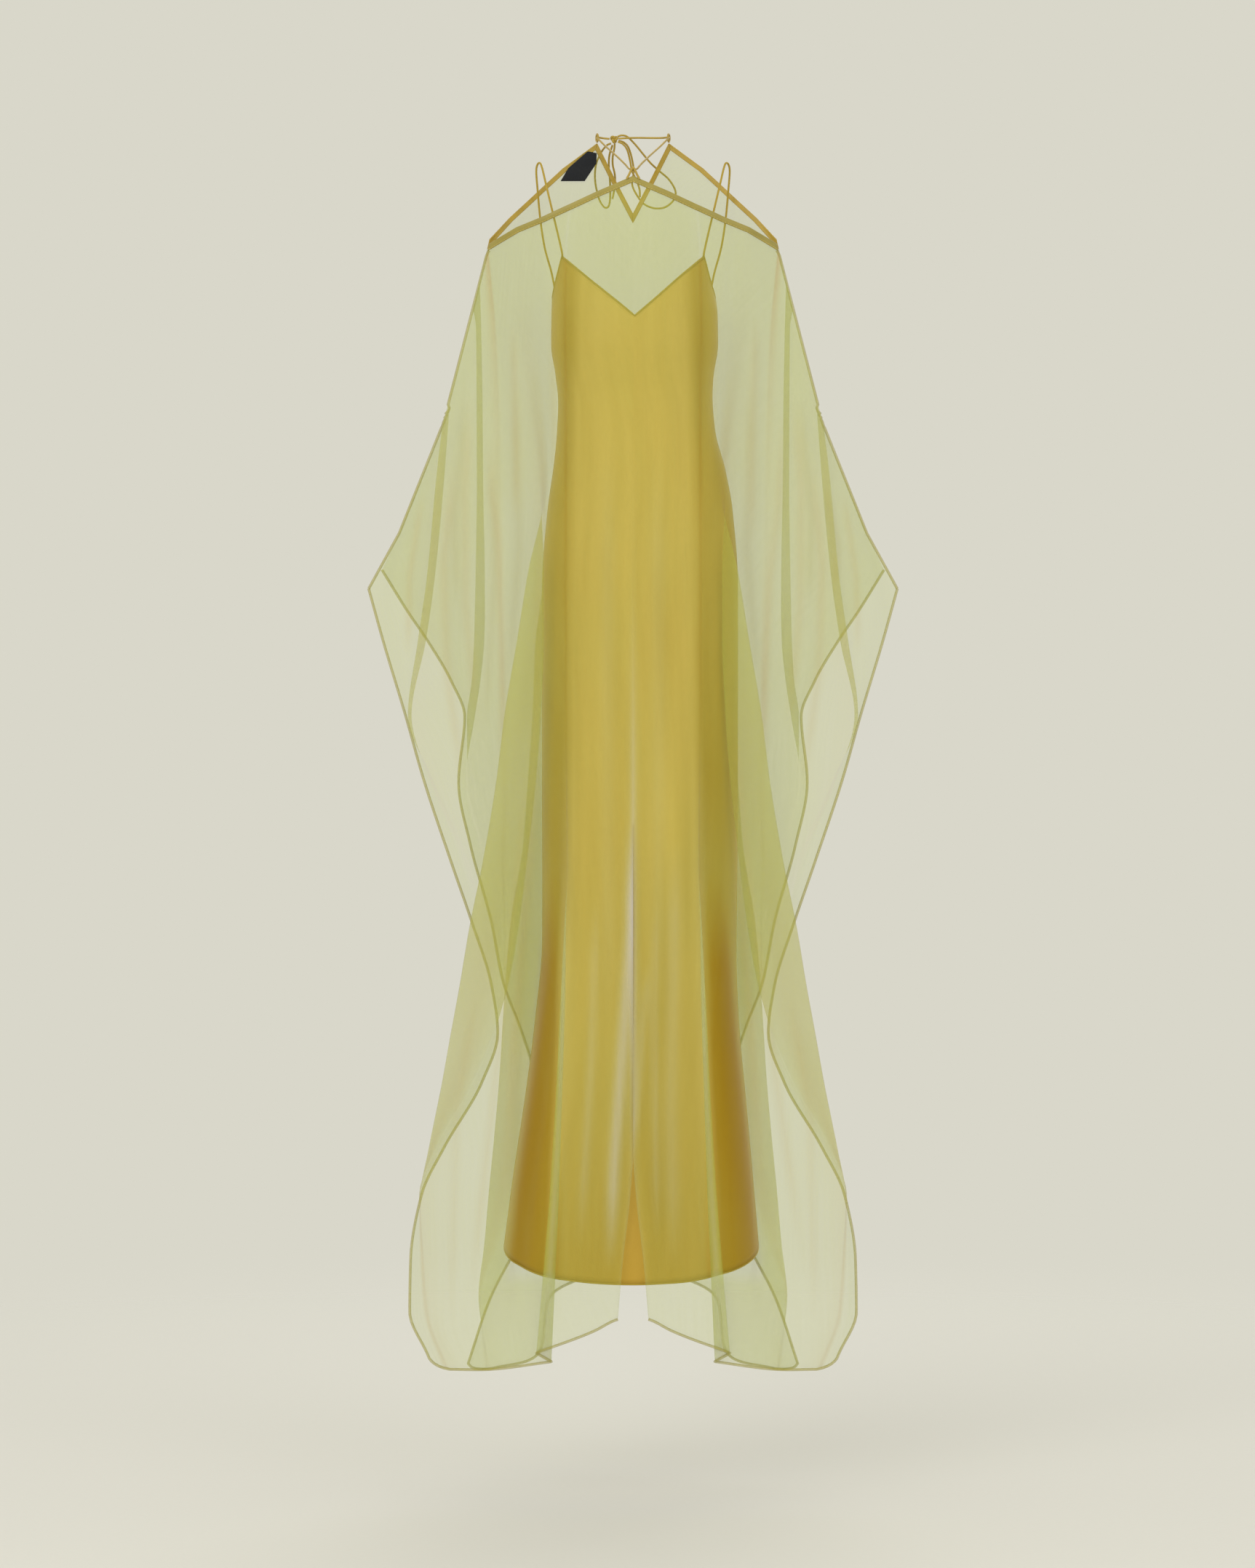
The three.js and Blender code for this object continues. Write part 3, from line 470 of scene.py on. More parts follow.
class Finish:
    """One material, with a method that makes any node from its settings and inputs."""

    def __init__(self, name):
        self.material = bpy.data.materials.new(name)
        self.material.use_nodes = True
        self.tree = self.material.node_tree
        self.shader = self.tree.nodes["Principled BSDF"]
        self.surface = self.tree.nodes["Material Output"].inputs["Surface"]

    def node(self, kind, settings=(), inputs=(), output=0):
        node = self.tree.nodes.new(kind)
        for key, setting in dict(settings).items():
            setattr(node, key, setting)
        for key, value in dict(inputs).items():
            self.feed(node.inputs[key], value)
        return Value(self, node.outputs[output])

    def feed(self, socket, value):
        if isinstance(value, Value):
            self.tree.links.new(value.socket, socket)
        else:
            socket.default_value = value

    def set(self, **inputs):
        for key, value in inputs.items():
            self.feed(self.shader.inputs[key.replace("_", " ")], value)

    def cloth_place(self, across=1.0, down=1.0):
        """The cloth's own UV map, in metres, stretched by a factor each way."""
        uv = self.node("ShaderNodeTexCoord", output="UV")
        return self.node("ShaderNodeMapping", inputs={"Vector": uv, "Scale": (across, down, 1)})

    def mark(self, name):
        """A painted mark laid on the cloth, up to 1, and below 0 where it thins the cloth: the marks carry
        painted highlights, painted shade and a darkening towards the hem.
        """
        return self.node("ShaderNodeAttribute", {"attribute_name": name}, output="Fac")

    def noise(self, place, scale, detail=2.0):
        return self.node("ShaderNodeTexNoise", inputs={"Vector": place, "Scale": scale, "Detail": detail})

    def threads(self, place, direction, per_metre):
        return self.node(
            "ShaderNodeTexWave",
            {"wave_type": "BANDS", "bands_direction": direction, "wave_profile": "SIN"},
            {"Vector": place, "Scale": per_metre / 20 * math.pi, "Distortion": 0.0},
        )

    def bump(self, height, strength, distance):
        inputs = {"Height": height, "Strength": strength, "Distance": distance}
        return self.node("ShaderNodeBump", inputs=inputs, output="Normal")

    def blend(self, share, first, second):
        return self.node(
            "ShaderNodeMix", {"data_type": "RGBA"}, {"Factor": share, 6: first, 7: second}, output=2
        )


def organza(name, coverage, shade, pale, fold_shade, crest_highlight):
    """Sheer plain weave: a share of each layer is thread, and the rest lets through what is behind. Its
    colour carries painted tan shade in folds and painted pale highlights along ridges, and its threads are
    denser under both.
    """
    cloth = Finish(name)
    place = cloth.cloth_place()
    streaks = cloth.noise(cloth.cloth_place(70, 2.5), 3.0, 2.0)
    cloud = cloth.noise(place, 4.5, 1.0)
    weave = cloth.threads(place, "X", 1400) + cloth.threads(place, "Y", 1400)
    # Marks of painted pale highlight and painted tan shade, laid on the panels
    crest_highlight_share, fold_shade_share = cloth.mark("crest_highlight"), cloth.mark("fold_shade")
    tone = cloth.blend(cloud * 0.5 + streaks * 0.5, shade, pale)
    cloth.set(
        # Random tone, then painted tan shade, then painted pale highlight on top
        Base_Color=cloth.blend(crest_highlight_share, cloth.blend(fold_shade_share * 2.0, tone, fold_shade), crest_highlight),
        Roughness=0.46 + 0.12 * streaks,
        Normal=cloth.bump(weave * 0.5 + streaks, 0.25, 0.0002),
        Sheen_Weight=0.2,
        Sheen_Roughness=0.4,
    )
    gap = cloth.node("ShaderNodeBsdfTransparent", inputs={"Color": CLEAR})
    thread_share = coverage * (0.55 + 0.6 * cloud + 0.3 * streaks)
    share = thread_share + crest_highlight_share * CREST_COVERAGE + fold_shade_share * FOLD_SHADE_COVERAGE
    mix = cloth.node(
        "ShaderNodeMixShader",
        inputs={"Fac": share, 1: gap, 2: Value(cloth, cloth.shader.outputs["BSDF"])},
    )
    cloth.feed(cloth.surface, mix)
    return cloth.material


def satin(name, deep, bright, side, roughness, grain=1.0):
    """Silk satin: fine floats down the cloth and a soft directional sheen; its colour has painted sheen
    streaks, and painted shade where it turns away.
    """
    cloth = Finish(name)
    floats = cloth.noise(cloth.cloth_place(420, 24), 3.0, 2.0)
    streaks = cloth.noise(cloth.cloth_place(16, 1.2), 3.0, 2.0)
    cloud = cloth.noise(cloth.cloth_place(), 4.0, 1.0)
    # Painted shade where the slip turns away and in soft patches, and darker towards the hem
    shade_and_hem_darkening = cloth.mark("shade_and_hem_darkening")
    # Partly the satin's own uneven tone; its lighter streaks and patches are painted sheen highlights
    middle = cloth.blend(cloud * 0.35 + streaks * 0.45 + floats * 0.2, deep, bright)
    cloth.set(
        Base_Color=cloth.blend(shade_and_hem_darkening, middle, side),
        Roughness=roughness + 0.1 * streaks,
        Normal=cloth.bump(floats * grain, 0.35, 0.0003),
        Sheen_Weight=0.1,
        Sheen_Roughness=0.35,
        Sheen_Tint=(1, 0.82, 0.40, 1),
        Specular_IOR_Level=0.18,
        Specular_Tint=(1, 0.88, 0.62, 1),
    )
    return cloth.material


def binding_silk(name, deep, bright):
    """Bias strips and rouleaux: a small diagonal rib, read from the place on the piece."""
    cloth = Finish(name)
    place = cloth.node("ShaderNodeTexCoord", output="Object")
    ribs = cloth.node(
        "ShaderNodeTexWave", {"wave_type": "BANDS", "bands_direction": "DIAGONAL"},
        {"Vector": place, "Scale": 330.0, "Distortion": 1.0, "Detail": 1.0},
    )
    cloud = cloth.noise(place, 60.0, 3.0)
    cloth.set(
        Base_Color=cloth.blend(cloud, deep, bright),
        Roughness=0.38 + 0.14 * cloud,
        Normal=cloth.bump(ribs * 0.6 + cloud, 0.35, 0.0002),
        Sheen_Weight=0.3,
    )
    return cloth.material


def label_weave():
    cloth = Finish("label_weave")
    place = cloth.cloth_place()
    ribs = cloth.threads(place, "X", 900) * cloth.threads(place, "Y", 1800)
    cloud = cloth.noise(place, 300.0, 2.0)
    cloth.set(
        Base_Color=cloth.blend(ribs * 0.5 + cloud * 0.5, dye(8, 10, 13), dye(22, 27, 32)),
        Roughness=0.42 + 0.2 * ribs,
        Normal=cloth.bump(ribs, 0.4, 0.0002),
        Specular_IOR_Level=0.25,
    )
    return cloth.material


def floor_paper():
    """Pale paper floor that fades out into the backdrop at its rim."""
    paper = Finish("floor_paper")
    place = paper.node("ShaderNodeTexCoord", output="Object")
    reach = paper.node("ShaderNodeVectorMath", {"operation": "LENGTH"}, {0: place}, output="Value")
    fade = paper.node(
        "ShaderNodeMapRange", {"interpolation_type": "SMOOTHSTEP"},
        {"Value": reach, "From Min": FLOOR_RADIUS * 0.35, "From Max": FLOOR_RADIUS * 0.97,
         "To Min": 1.0, "To Max": 0.0},
    )
    grain = paper.noise(place, 140.0, 3.0)
    paper.set(
        Base_Color=paper.blend(grain, dye(214, 213, 203), dye(217, 216, 206)),
        Roughness=0.9,
        Alpha=fade,
        Normal=paper.bump(grain, 0.05, 0.0005),
        Specular_IOR_Level=0.1,
    )
    return paper.material


# ---- Cloth nets
def cubic(start, end, leaving, coming, length, share):
    """A smooth step from start to end that leaves and comes in at the given slopes."""
    rest = 1 - share
    return (
        start * (1 + 2 * share) * rest**2 + end * (3 - 2 * share) * share**2
        + length * (leaving * share * rest**2 - coming * rest * share**2)
    )


def smooth_at(levels, values, asked):
    """Values along a fold line at the asked levels, on a smooth curve that never overshoots its points."""
    steps = np.diff(levels)
    slopes = np.diff(values) / steps
    tangents = np.empty(len(values))
    tangents[0], tangents[-1] = slopes[0], slopes[-1]
    for i in range(1, len(values) - 1):
        before, after = slopes[i - 1], slopes[i]
        tangents[i] = 0 if before * after <= 0 else 3 * (steps[i - 1] + steps[i]) / (
            (2 * steps[i] + steps[i - 1]) / before + (steps[i] + 2 * steps[i - 1]) / after
        )
    i = np.clip(np.searchsorted(levels, asked) - 1, 0, len(steps) - 1)
    share = np.clip((asked - levels[i]) / steps[i], 0, 1)
    return cubic(values[i], values[i + 1], tangents[i], tangents[i + 1], steps[i], share)


def inset(edge, width):
    """An edge line moved into its panel, in the X-Z plane: corners mitred, ends along the sleeve seams."""
    along = np.diff(edge, axis=0)
    across = np.stack([along[:, 2], np.zeros(len(along)), -along[:, 0]], axis=1)
    across /= np.linalg.norm(across, axis=1)[:, None]
    moved = []
    for i, point in enumerate(edge):
        before, after = across[max(i - 1, 0)], across[min(i, len(across) - 1)]
        mitre = before + after
        if i in (0, len(along)):
            mitre = np.array([math.copysign(SEAM_LEAN, point[0]), 0, -1])
        mitre = mitre / np.linalg.norm(mitre)
        moved.append(point + mitre * width / (mitre @ after))
    return np.array(moved)


def neck_line(edge, depth):
    """The neck edge from the left shoulder to the right, moved down into the panel."""
    half = np.array(edge[:NECK_COLUMNS], float) * MM
    return inset(np.concatenate([half[:0:-1] * (-1, 1, 1), half]), depth)


def fold_points(edge, binding_width, sections, hem):
    """The points of each fold line of half a panel, from its top to its hem, in metres."""
    tops = neck_line(edge, binding_width)[NECK_COLUMNS - 1:]
    tops = np.concatenate([tops, np.array(edge[NECK_COLUMNS:], float) * MM])
    folds = []
    for column, (top, end) in enumerate(zip(tops, np.array(hem, float) * MM)):
        between = [
            [row[column][0] * MM, row[column][1] * MM, level * MM]
            for level, row in sections.items()
            if len(row) > column and end[2] + END_CLEAR * MM < level * MM < top[2] - END_CLEAR * MM
        ]
        folds.append(np.array([top, *between, end]))
    return folds


def fold_rows(folds):
    """Each fold line at every row of the net: an array of rows by fold lines by places."""
    share = np.linspace(0, 2, PANEL_ROWS + 1)
    lines = []
    for fold in folds:
        top, bottom = fold[0, 2], fold[-1, 2]
        level = np.where(
            share < 1, top + (WAIST_LEVEL - top) * share, WAIST_LEVEL + (bottom - WAIST_LEVEL) * (share - 1)
        )
        out, depth = (smooth_at(-fold[:, 2], fold[:, axis], -level) for axis in (0, 1))
        lines.append(np.stack([out, depth, level], axis=1))
    return np.stack(lines, axis=1)


def column_places(rows, folded):
    """Where the net's columns lie, counted in fold lines, closer together beside a pressed fold."""
    widths = np.linalg.norm(np.diff(rows, axis=1), axis=2).max(axis=0)
    places = [0.0]
    for i, width in enumerate(widths):
        count = max(int(round(width / COLUMN_WIDTH)), 2)
        inside = list(np.linspace(0, 1, count + 1)[1:-1])
        near = [min(step / width, 0.4) for step in FOLD_STEPS]
        if i in folded:
            inside += near
        if i + 1 in folded:
            inside += [1 - share for share in near]
        places += [i + share for share in sorted(set(inside))] + [i + 1.0]
    return np.array(places)


def across_folds(rows, folded, places):
    """The net's points between the fold lines: smooth over soft ones and broken at pressed ones."""
    mirrored = rows[:, 1:2] * (-1, 1, 1)
    steps = np.diff(np.concatenate([mirrored, rows], axis=1), axis=1)
    lengths = np.maximum(np.linalg.norm(steps, axis=2), 1e-6)[:, :, None]
    slopes = steps / lengths
    last = rows.shape[1] - 1
    ahead, behind = slopes[:, 1:], slopes[:, :-1]
    soft = np.array(rows)
    soft[:, :last] = (behind * lengths[:, 1:] + ahead * lengths[:, :-1]) / (lengths[:, 1:] + lengths[:, :-1])
    soft[:, last] = slopes[:, -1]
    left = np.minimum(places.astype(int), last - 1)
    share = (places - left)[None, :, None]
    pressed = np.array([i in folded for i in range(last + 1)])
    leaving = np.where(pressed[left][None, :, None], slopes[:, left + 1], soft[:, left])
    coming = np.where(pressed[left + 1][None, :, None], slopes[:, left + 1], soft[:, left + 1])
    start, end = rows[:, left], rows[:, left + 1]
    curved = cubic(start, end, leaving, coming, lengths[:, left + 1], share)
    straight = start * (1 - share) + end * share
    lower = np.clip(np.linspace(-0.5, 1.5, len(rows)), 0, 1)[:, None]
    curved[:, :, 2] = straight[:, :, 2] + (curved[:, :, 2] - straight[:, :, 2]) * lower
    free = np.clip(np.linspace(0, 1, len(rows)) / STRAIGHT_TOP, 0, 1)[:, None, None]
    return straight + (curved - straight) * free


def distance_to(line, out, level):
    """How far each place is from a crease's line, and how far along the line its foot is, from 0 to 1."""
    nearest = np.full(out.shape, 1e9)
    along = np.zeros(out.shape)
    lengths = np.linalg.norm(np.diff(line, axis=0), axis=1)
    run = np.concatenate([[0], np.cumsum(lengths)]) / lengths.sum()
    for i, length in enumerate(lengths):
        step = (line[i + 1] - line[i]) / length
        foot = np.clip(((out - line[i, 0]) * step[0] + (level - line[i, 1]) * step[1]), 0, length)
        far = np.hypot(out - line[i, 0] - step[0] * foot, level - line[i, 1] - step[1] * foot)
        closer = far < nearest
        nearest = np.where(closer, far, nearest)
        along = np.where(closer, run[i] + (run[i + 1] - run[i]) * foot / length, along)
    return nearest, along


def press_creases(net, places, creases, marks, side, outwards):
    """Lifts the creases of one side of a panel as soft ridges, or troughs, that fade at both ends.

    Each is marked too: a pale painted highlight along its ridge where the panel lies on the slip, and tan
    painted shade along it elsewhere; the finish also makes the cloth denser under both.
    """
    for low, high, sides, lift, width, strength, line in creases:
        if sides not in (0, side):
            continue
        far, along = distance_to(np.array(line, float) * MM, net[:, :, 0], net[:, :, 2])
        fade = np.clip(np.minimum(along, 1 - along) / CREASE_FADE, 0, 1)
        on = np.clip((high - places) / CREASE_SHOULDER, 0, 1)
        if low:
            on = np.minimum(on, np.clip((places - low) / CREASE_SHOULDER, 0, 1))
        rise = lift * (1 + CREASE_UNEVEN * side) * MM
        wide = width * MM
        net[:, :, 1] += outwards * rise * np.exp(-((far / wide) ** 2)) * fade * on[None, :]
        # Pale painted highlight for layers inside fold line 3, tan painted shade beyond
        mark = marks["crest_highlight" if high < FOLD_SHADE_FROM else "fold_shade"]
        marked = strength * fade * on[None, :]
        np.maximum(mark, marked * np.exp(-((far / (wide * CREST)) ** 2)), out=mark)


def press_folds(marks, places, folds):
    """Adds a panel's pressed folds to its painted highlight and painted shade marks, each with its reach
    across and its strength down.

    A negative strength thins the cloth there.
    """
    rows = np.linspace(0, 1, len(marks["crest_highlight"]))
    for key, fold, reach, strengths in folds:
        down = np.interp(rows, np.linspace(0, 1, len(strengths)), strengths)
        near = np.exp(-(((places - fold) / reach) ** 2))
        marks[key] += down[:, None] * near[None, :]


def soften_folds(net, places, folded):
    """Rounds each pressed fold by drawing its column towards its two neighbours."""
    for fold in folded:
        column = int(np.argmin(np.abs(places - fold)))
        middle = (net[:, column - 1] + net[:, column + 1]) / 2
        net[:, column] += (middle - net[:, column]) * FOLD_SOFTNESS


def thin_sides(net, marks, side):
    """Thins the front panel where it lies flat against the slip's sides."""
    out, level = net[:, :, 0] / MM, -net[:, :, 2] / MM
    reach = np.interp(level, *np.array(THIN_SIDES).T) + SLIP_LEAN * side
    over = np.clip((out - THIN_FROM) / THIN_EDGE, 0, 1) * np.clip((reach - out) / THIN_EDGE, 0, 1)
    above = np.clip((THIN_END - level) / THIN_END_FADE, 0, 1)
    down = np.clip((level - THIN_TOP) / THIN_TOP_FADE, 0, 1) * above
    # Clears the painted highlight and painted shade here, and thins the cloth through the negative highlight
    # mark
    for mark in marks.values():
        mark *= 1 - over * down
    marks["crest_highlight"] += THIN_STRENGTH * over * down


def panel_half(edge, width, sections, hem, folded, creases, folds, side, outwards):
    rows = fold_rows(fold_points(edge, width, sections, hem))
    places = column_places(rows, folded)
    net = across_folds(rows, folded, places)
    soften_folds(net, places, folded)
    # Painted pale highlight and painted tan shade for this half, which also make its cloth denser
    marks = {key: np.zeros(net.shape[:2]) for key in ("crest_highlight", "fold_shade")}
    press_creases(net, places, creases, marks, side, outwards)
    if outwards < 0:
        thin_sides(net, marks, side)
    press_folds(marks, places, folds)
    return net * (side, 1, 1), marks


# ---- Making pieces
def alone(piece=None):
    bpy.ops.object.select_all(action="DESELECT")
    if piece is not None:
        piece.select_set(True)
        bpy.context.view_layer.objects.active = piece


def metres_across(points):
    steps = np.linalg.norm(np.diff(points, axis=1), axis=2)
    return np.concatenate([np.zeros((len(points), 1)), np.cumsum(steps, axis=1)], axis=1)


def metres_down(points):
    steps = np.linalg.norm(np.diff(points, axis=0), axis=2)
    return np.concatenate([np.zeros((1, points.shape[1])), np.cumsum(steps, axis=0)], axis=0)


def lay_cloth(name, points, marks=()):
    """A grid primitive laid over rows of places, as seen from its right side, with a UV map in metres.

    Marks hold one number for each place, and are kept as attributes that the cloth's finish reads.
    """
    rows, columns = points.shape[:2]
    alone()
    bpy.ops.mesh.primitive_grid_add(x_subdivisions=columns - 1, y_subdivisions=rows - 1, size=2)
    piece = bpy.context.object
    piece.name = name
    mesh = piece.data
    flat = np.empty(len(mesh.vertices) * 3)
    mesh.vertices.foreach_get("co", flat)
    flat = flat.reshape(-1, 3)
    column = np.rint((flat[:, 0] + 1) / 2 * (columns - 1)).astype(int)
    row = np.rint((1 - flat[:, 1]) / 2 * (rows - 1)).astype(int)
    mesh.vertices.foreach_set("co", points[row, column].ravel())
    corners = np.empty(len(mesh.loops), int)
    mesh.loops.foreach_get("vertex_index", corners)
    across, down = metres_across(points)[row, column], metres_down(points)[row, column]
    places = np.stack([across[corners], -down[corners]], axis=1)
    mesh.uv_layers.active.data.foreach_set("uv", places.ravel())
    for key, mark in dict(marks).items():
        mesh.attributes.new(key, "FLOAT", "POINT").data.foreach_set("value", mark[row, column].ravel())
    mesh.update()
    return piece


def sew(name, *parts):
    """Joins parts into one piece and merges the points that they share."""
    alone()
    for part in parts:
        part.select_set(True)
    bpy.context.view_layer.objects.active = parts[0]
    bpy.ops.object.join()
    piece = bpy.context.object
    piece.name = name
    bpy.ops.object.mode_set(mode="EDIT")
    bpy.ops.mesh.select_all(action="SELECT")
    bpy.ops.mesh.remove_doubles(threshold=MERGE_WITHIN)
    bpy.ops.object.mode_set(mode="OBJECT")
    return piece


def modify(piece, kind, **settings):
    alone(piece)
    modifier = piece.modifiers.new(kind.lower(), kind)
    for key, value in settings.items():
        setattr(modifier, key, value)
    bpy.ops.object.modifier_apply(modifier=modifier.name)


def finish_piece(piece, material, slot, *nodes):
    piece.data.materials.clear()
    piece.data.materials.append(material)
    if piece.type == "MESH":
        piece.data.polygons.foreach_set("use_smooth", [True] * len(piece.data.polygons))
    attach(piece, "root")
    if nodes:
        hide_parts(*nodes)
    return piece


def thicken(piece, thickness):
    modify(piece, "SOLIDIFY", thickness=thickness, offset=0.0)


def route(points, steps=6):
    """A smooth line through points, given in millimetres."""
    nodes = np.array(points, float) * MM
    nodes = np.concatenate([[2 * nodes[0] - nodes[1]], nodes, [2 * nodes[-1] - nodes[-2]]])
    share = np.linspace(0, 1, steps, endpoint=False)[:, None]
    before, start, end, after = (nodes[i : len(nodes) - 3 + i, None] for i in range(4))
    line = start + 0.5 * (
        (end - before) * share + (2 * before - 5 * start + 4 * end - after) * share**2
        + (3 * start - before - 3 * end + after) * share**3
    )
    return np.concatenate([line.reshape(-1, 3), nodes[-2:-1]])


def round_curve(name, radius, resolution):
    curve = bpy.data.curves.new(name, "CURVE")
    curve.dimensions = "3D"
    curve.bevel_depth = radius
    curve.bevel_resolution = resolution
    curve.use_fill_caps = True
    piece = bpy.data.objects.new(name, curve)
    bpy.context.collection.objects.link(piece)
    return piece, curve


def rouleau(name, line, radius, closed=False):
    """A round cord of cloth along a line of places in metres."""
    piece, curve = round_curve(name, radius, 3)
    spline = curve.splines.new("POLY")
    spline.points.add(len(line) - 1)
    spline.points.foreach_set("co", np.concatenate([line, np.ones((len(line), 1))], axis=1).ravel())
    spline.use_cyclic_u = closed
    spline.use_smooth = True
    return piece


def round_edges(piece, width):
    modify(piece, "BEVEL", width=width, segments=2, limit_method="ANGLE", angle_limit=BEVEL_ANGLE)


def edging(name, line, radius, material, slot, *nodes, closed=False):
    return finish_piece(rouleau(name, line, radius, closed), material, slot, *nodes)


def strip(name, upper, lower):
    """A folded strip of cloth between two lines, a little fuller in its middle."""
    across = np.linspace(0, 1, 5)[:, None, None]
    points = upper[None] * (1 - across) + lower[None] * across
    away = np.sign(points[:, :, 1:2].mean())
    points[:, :, 1:2] += away * BINDING_CROWN * np.sin(across * math.pi)
    if away > 0:
        points = points[:, ::-1]
    piece = lay_cloth(name, points)
    thicken(piece, BINDING_THICK)
    round_edges(piece, BINDING_THICK * BINDING_BEVEL)
    return piece


def stitches(name, line):
    """A row of topstitches: short rods along a line, joined as one piece."""
    lengths = np.linalg.norm(np.diff(line, axis=0), axis=1)
    run = np.concatenate([[0], np.cumsum(lengths)])
    pitch = STITCH_LENGTH + STITCH_GAP
    piece, curve = round_curve(name, THREAD_RADIUS, 1)
    for i in range(int((run[-1] - STITCH_GAP) / pitch)):
        start = STITCH_GAP + i * pitch
        ends = [start, start + STITCH_LENGTH / 2, start + STITCH_LENGTH]
        spline = curve.splines.new("POLY")
        spline.points.add(2)
        for point, at in zip(spline.points, ends):
            point.co = [*(np.interp(at, run, line[:, axis]) for axis in range(3)), 1]
    alone(piece)
    bpy.ops.object.convert(target="MESH")
    return bpy.context.object


# ---- Scene
set_camera()
set_lights()

trim = binding_silk("trim_silk", dye(148, 122, 24), dye(182, 152, 40))
veiled_trim = binding_silk("veiled_trim_silk", dye(134, 122, 40), dye(162, 146, 60))
thread = binding_silk("thread", dye(196, 172, 80), dye(214, 192, 104))

# Tie cord
for tie_name, (points, length, far_end, lay) in TIE.items():
    line = route(points)
    cord = edging(f"{tie_name}_cord", line, CORD / 2, trim, "binding", tie_name)

turn = np.linspace(0, 2 * math.pi, KNOT_POINTS, endpoint=False)
wraps = np.stack([
    np.sin(turn) + 2 * np.sin(2 * turn), -np.sin(3 * turn) * 1.1, np.cos(turn) - 2 * np.cos(2 * turn),
], axis=1) * KNOT_SIZE
wraps += np.array(KNOT) * MM
edging("tie_knot_wraps", wraps, KNOT_RADIUS, trim, "binding", "tie_knot", closed=True)

# Sheer panels
CLEAR = (0.988, 0.994, 0.978, 1)
# Extra thread share under the painted pale highlight and the painted tan shade, for denser folded cloth
CREST_COVERAGE = 0.42
FOLD_SHADE_COVERAGE = 0.30
# Painted tan shade colour for folds, and painted pale highlight colour for ridges
SHEER_FOLD_SHADE, SHEER_CREST_HIGHLIGHT = dye(184, 153, 44), dye(212, 208, 208)
sheer = organza("organza", 0.14, dye(174, 178, 60), dye(194, 199, 90), SHEER_FOLD_SHADE, SHEER_CREST_HIGHLIGHT)
hem_cloth = organza("rolled_organza", 0.42, dye(160, 150, 50), dye(182, 172, 74), SHEER_FOLD_SHADE, SHEER_CREST_HIGHLIGHT)


def make_panel(name, node, edge, width, sections, hem, folded, creases, folds, outwards):
    nets, laid = {}, []
    for side in (-1, 1):
        net, marks = panel_half(edge, width, sections, hem, folded, creases, folds, side, outwards)
        nets[side] = net
        if side * -outwards < 0:
            net, marks = net[:, ::-1], {key: mark[:, ::-1] for key, mark in marks.items()}
        laid.append(lay_cloth(f"{name}_{side}", net, marks))
    panel = sew(name, *laid)
    thicken(panel, ORGANZA_THICK)
    finish_piece(panel, sheer, "organza", node)
    return panel, nets


front_panel, front_halves = make_panel(
    "kaftan_front", "front_panel", FRONT_EDGE, FRONT_BINDING_WIDTH, FRONT_SECTIONS, FRONT_HEM, FRONT_FOLDED,
    FRONT_CREASES, FRONT_FOLDS, -1,
)
back_panel, back_halves = make_panel(
    "kaftan_back", "back_panel", BACK_EDGE, BACK_BINDING_WIDTH, BACK_SECTIONS, BACK_HEM, BACK_FOLDED,
    BACK_CREASES, BACK_FOLDS, 1,
)

# Rolled hems: down each open side and along the bottom
front_hems, back_hems = [], []
for nets, hems, name in ((front_halves, front_hems, "front"), (back_halves, back_hems, "back")):
    for side, word in SIDES:
        around = np.concatenate([nets[side][:, -1], nets[side][-1, ::-1][1:]])
        hems.append(edging(f"{name}_hem_{word}", around, HEM_RADIUS, hem_cloth, "organza"))

# Sleeve seams, where the two panels meet along the top of each sleeve
for side, word in SIDES:
    top = front_halves[side][0]
    line = top[int(np.argmin(np.abs(np.abs(top[:, 0]) - SHOULDER_OUT))):]
    line = line[np.argsort(-line[:, 2])]
    line[:, 1] = 0
    keep = np.concatenate([[True], np.diff(line[:, 2]) < -SEAM_STEP])
    front_hems.append(edging(f"sleeve_seam_{word}", line[keep], SEAM_RADIUS, hem_cloth, "organza"))


# Neck bindings
def make_binding(name, node, edge, width, first, last, silk):
    upper, lower = neck_line(edge, 0)[first : last + 1], neck_line(edge, width)[first : last + 1]
    share = np.linspace(0, 1, BINDING_STEPS, endpoint=False)[:, None]

    def dense(line):
        spans = [a + (b - a) * share for a, b in zip(line[:-1], line[1:])]
        return np.concatenate([*spans, line[-1:]])

    band = strip(name, dense(upper), dense(lower))
    finish_piece(band, silk, "binding", node)
    away = np.sign(upper[:, 1].mean())
    line = dense(lower) * STITCH_DOWN + dense(upper) * (1 - STITCH_DOWN)
    line[:, 1] += away * STITCH_LIFT
    finish_piece(stitches(f"{name}_stitches", line), thread, "binding")


make_binding("neck_band_front", "front_neck_binding", FRONT_EDGE, FRONT_BINDING_WIDTH, 0, 14, veiled_trim)
for place, (first, last) in {
    "shoulder_left": (0, 5), "notch_left": (5, 7), "notch_right": (7, 9), "shoulder_right": (9, 14),
}.items():
    make_binding(f"{place}_band", f"{place}_binding", BACK_EDGE, BACK_BINDING_WIDTH, first, last, trim)

# Loops that carry the tie
for side, word in SIDES:
    angle = np.linspace(0, 2 * math.pi, LOOP_POINTS, endpoint=False)
    reach = LOOP_REACH * (1 - LOOP_NARROWING * np.cos(angle))
    around = np.sin(angle) * reach
    loop = np.stack([around * LOOP_LEAN * side, around, np.cos(angle) * reach], axis=1)
    loop += np.array(LOOP_CENTRE) * (side, 1, 1)
    name = f"neck_loop_{word}"
    edging(f"{name}_cord", loop * MM, LOOP_RADIUS, trim, "binding", name, closed=True)
edging("neck_loop_front_cord", route(FRONT_LOOP), TAB_RADIUS, trim, "binding", "neck_loop_front")


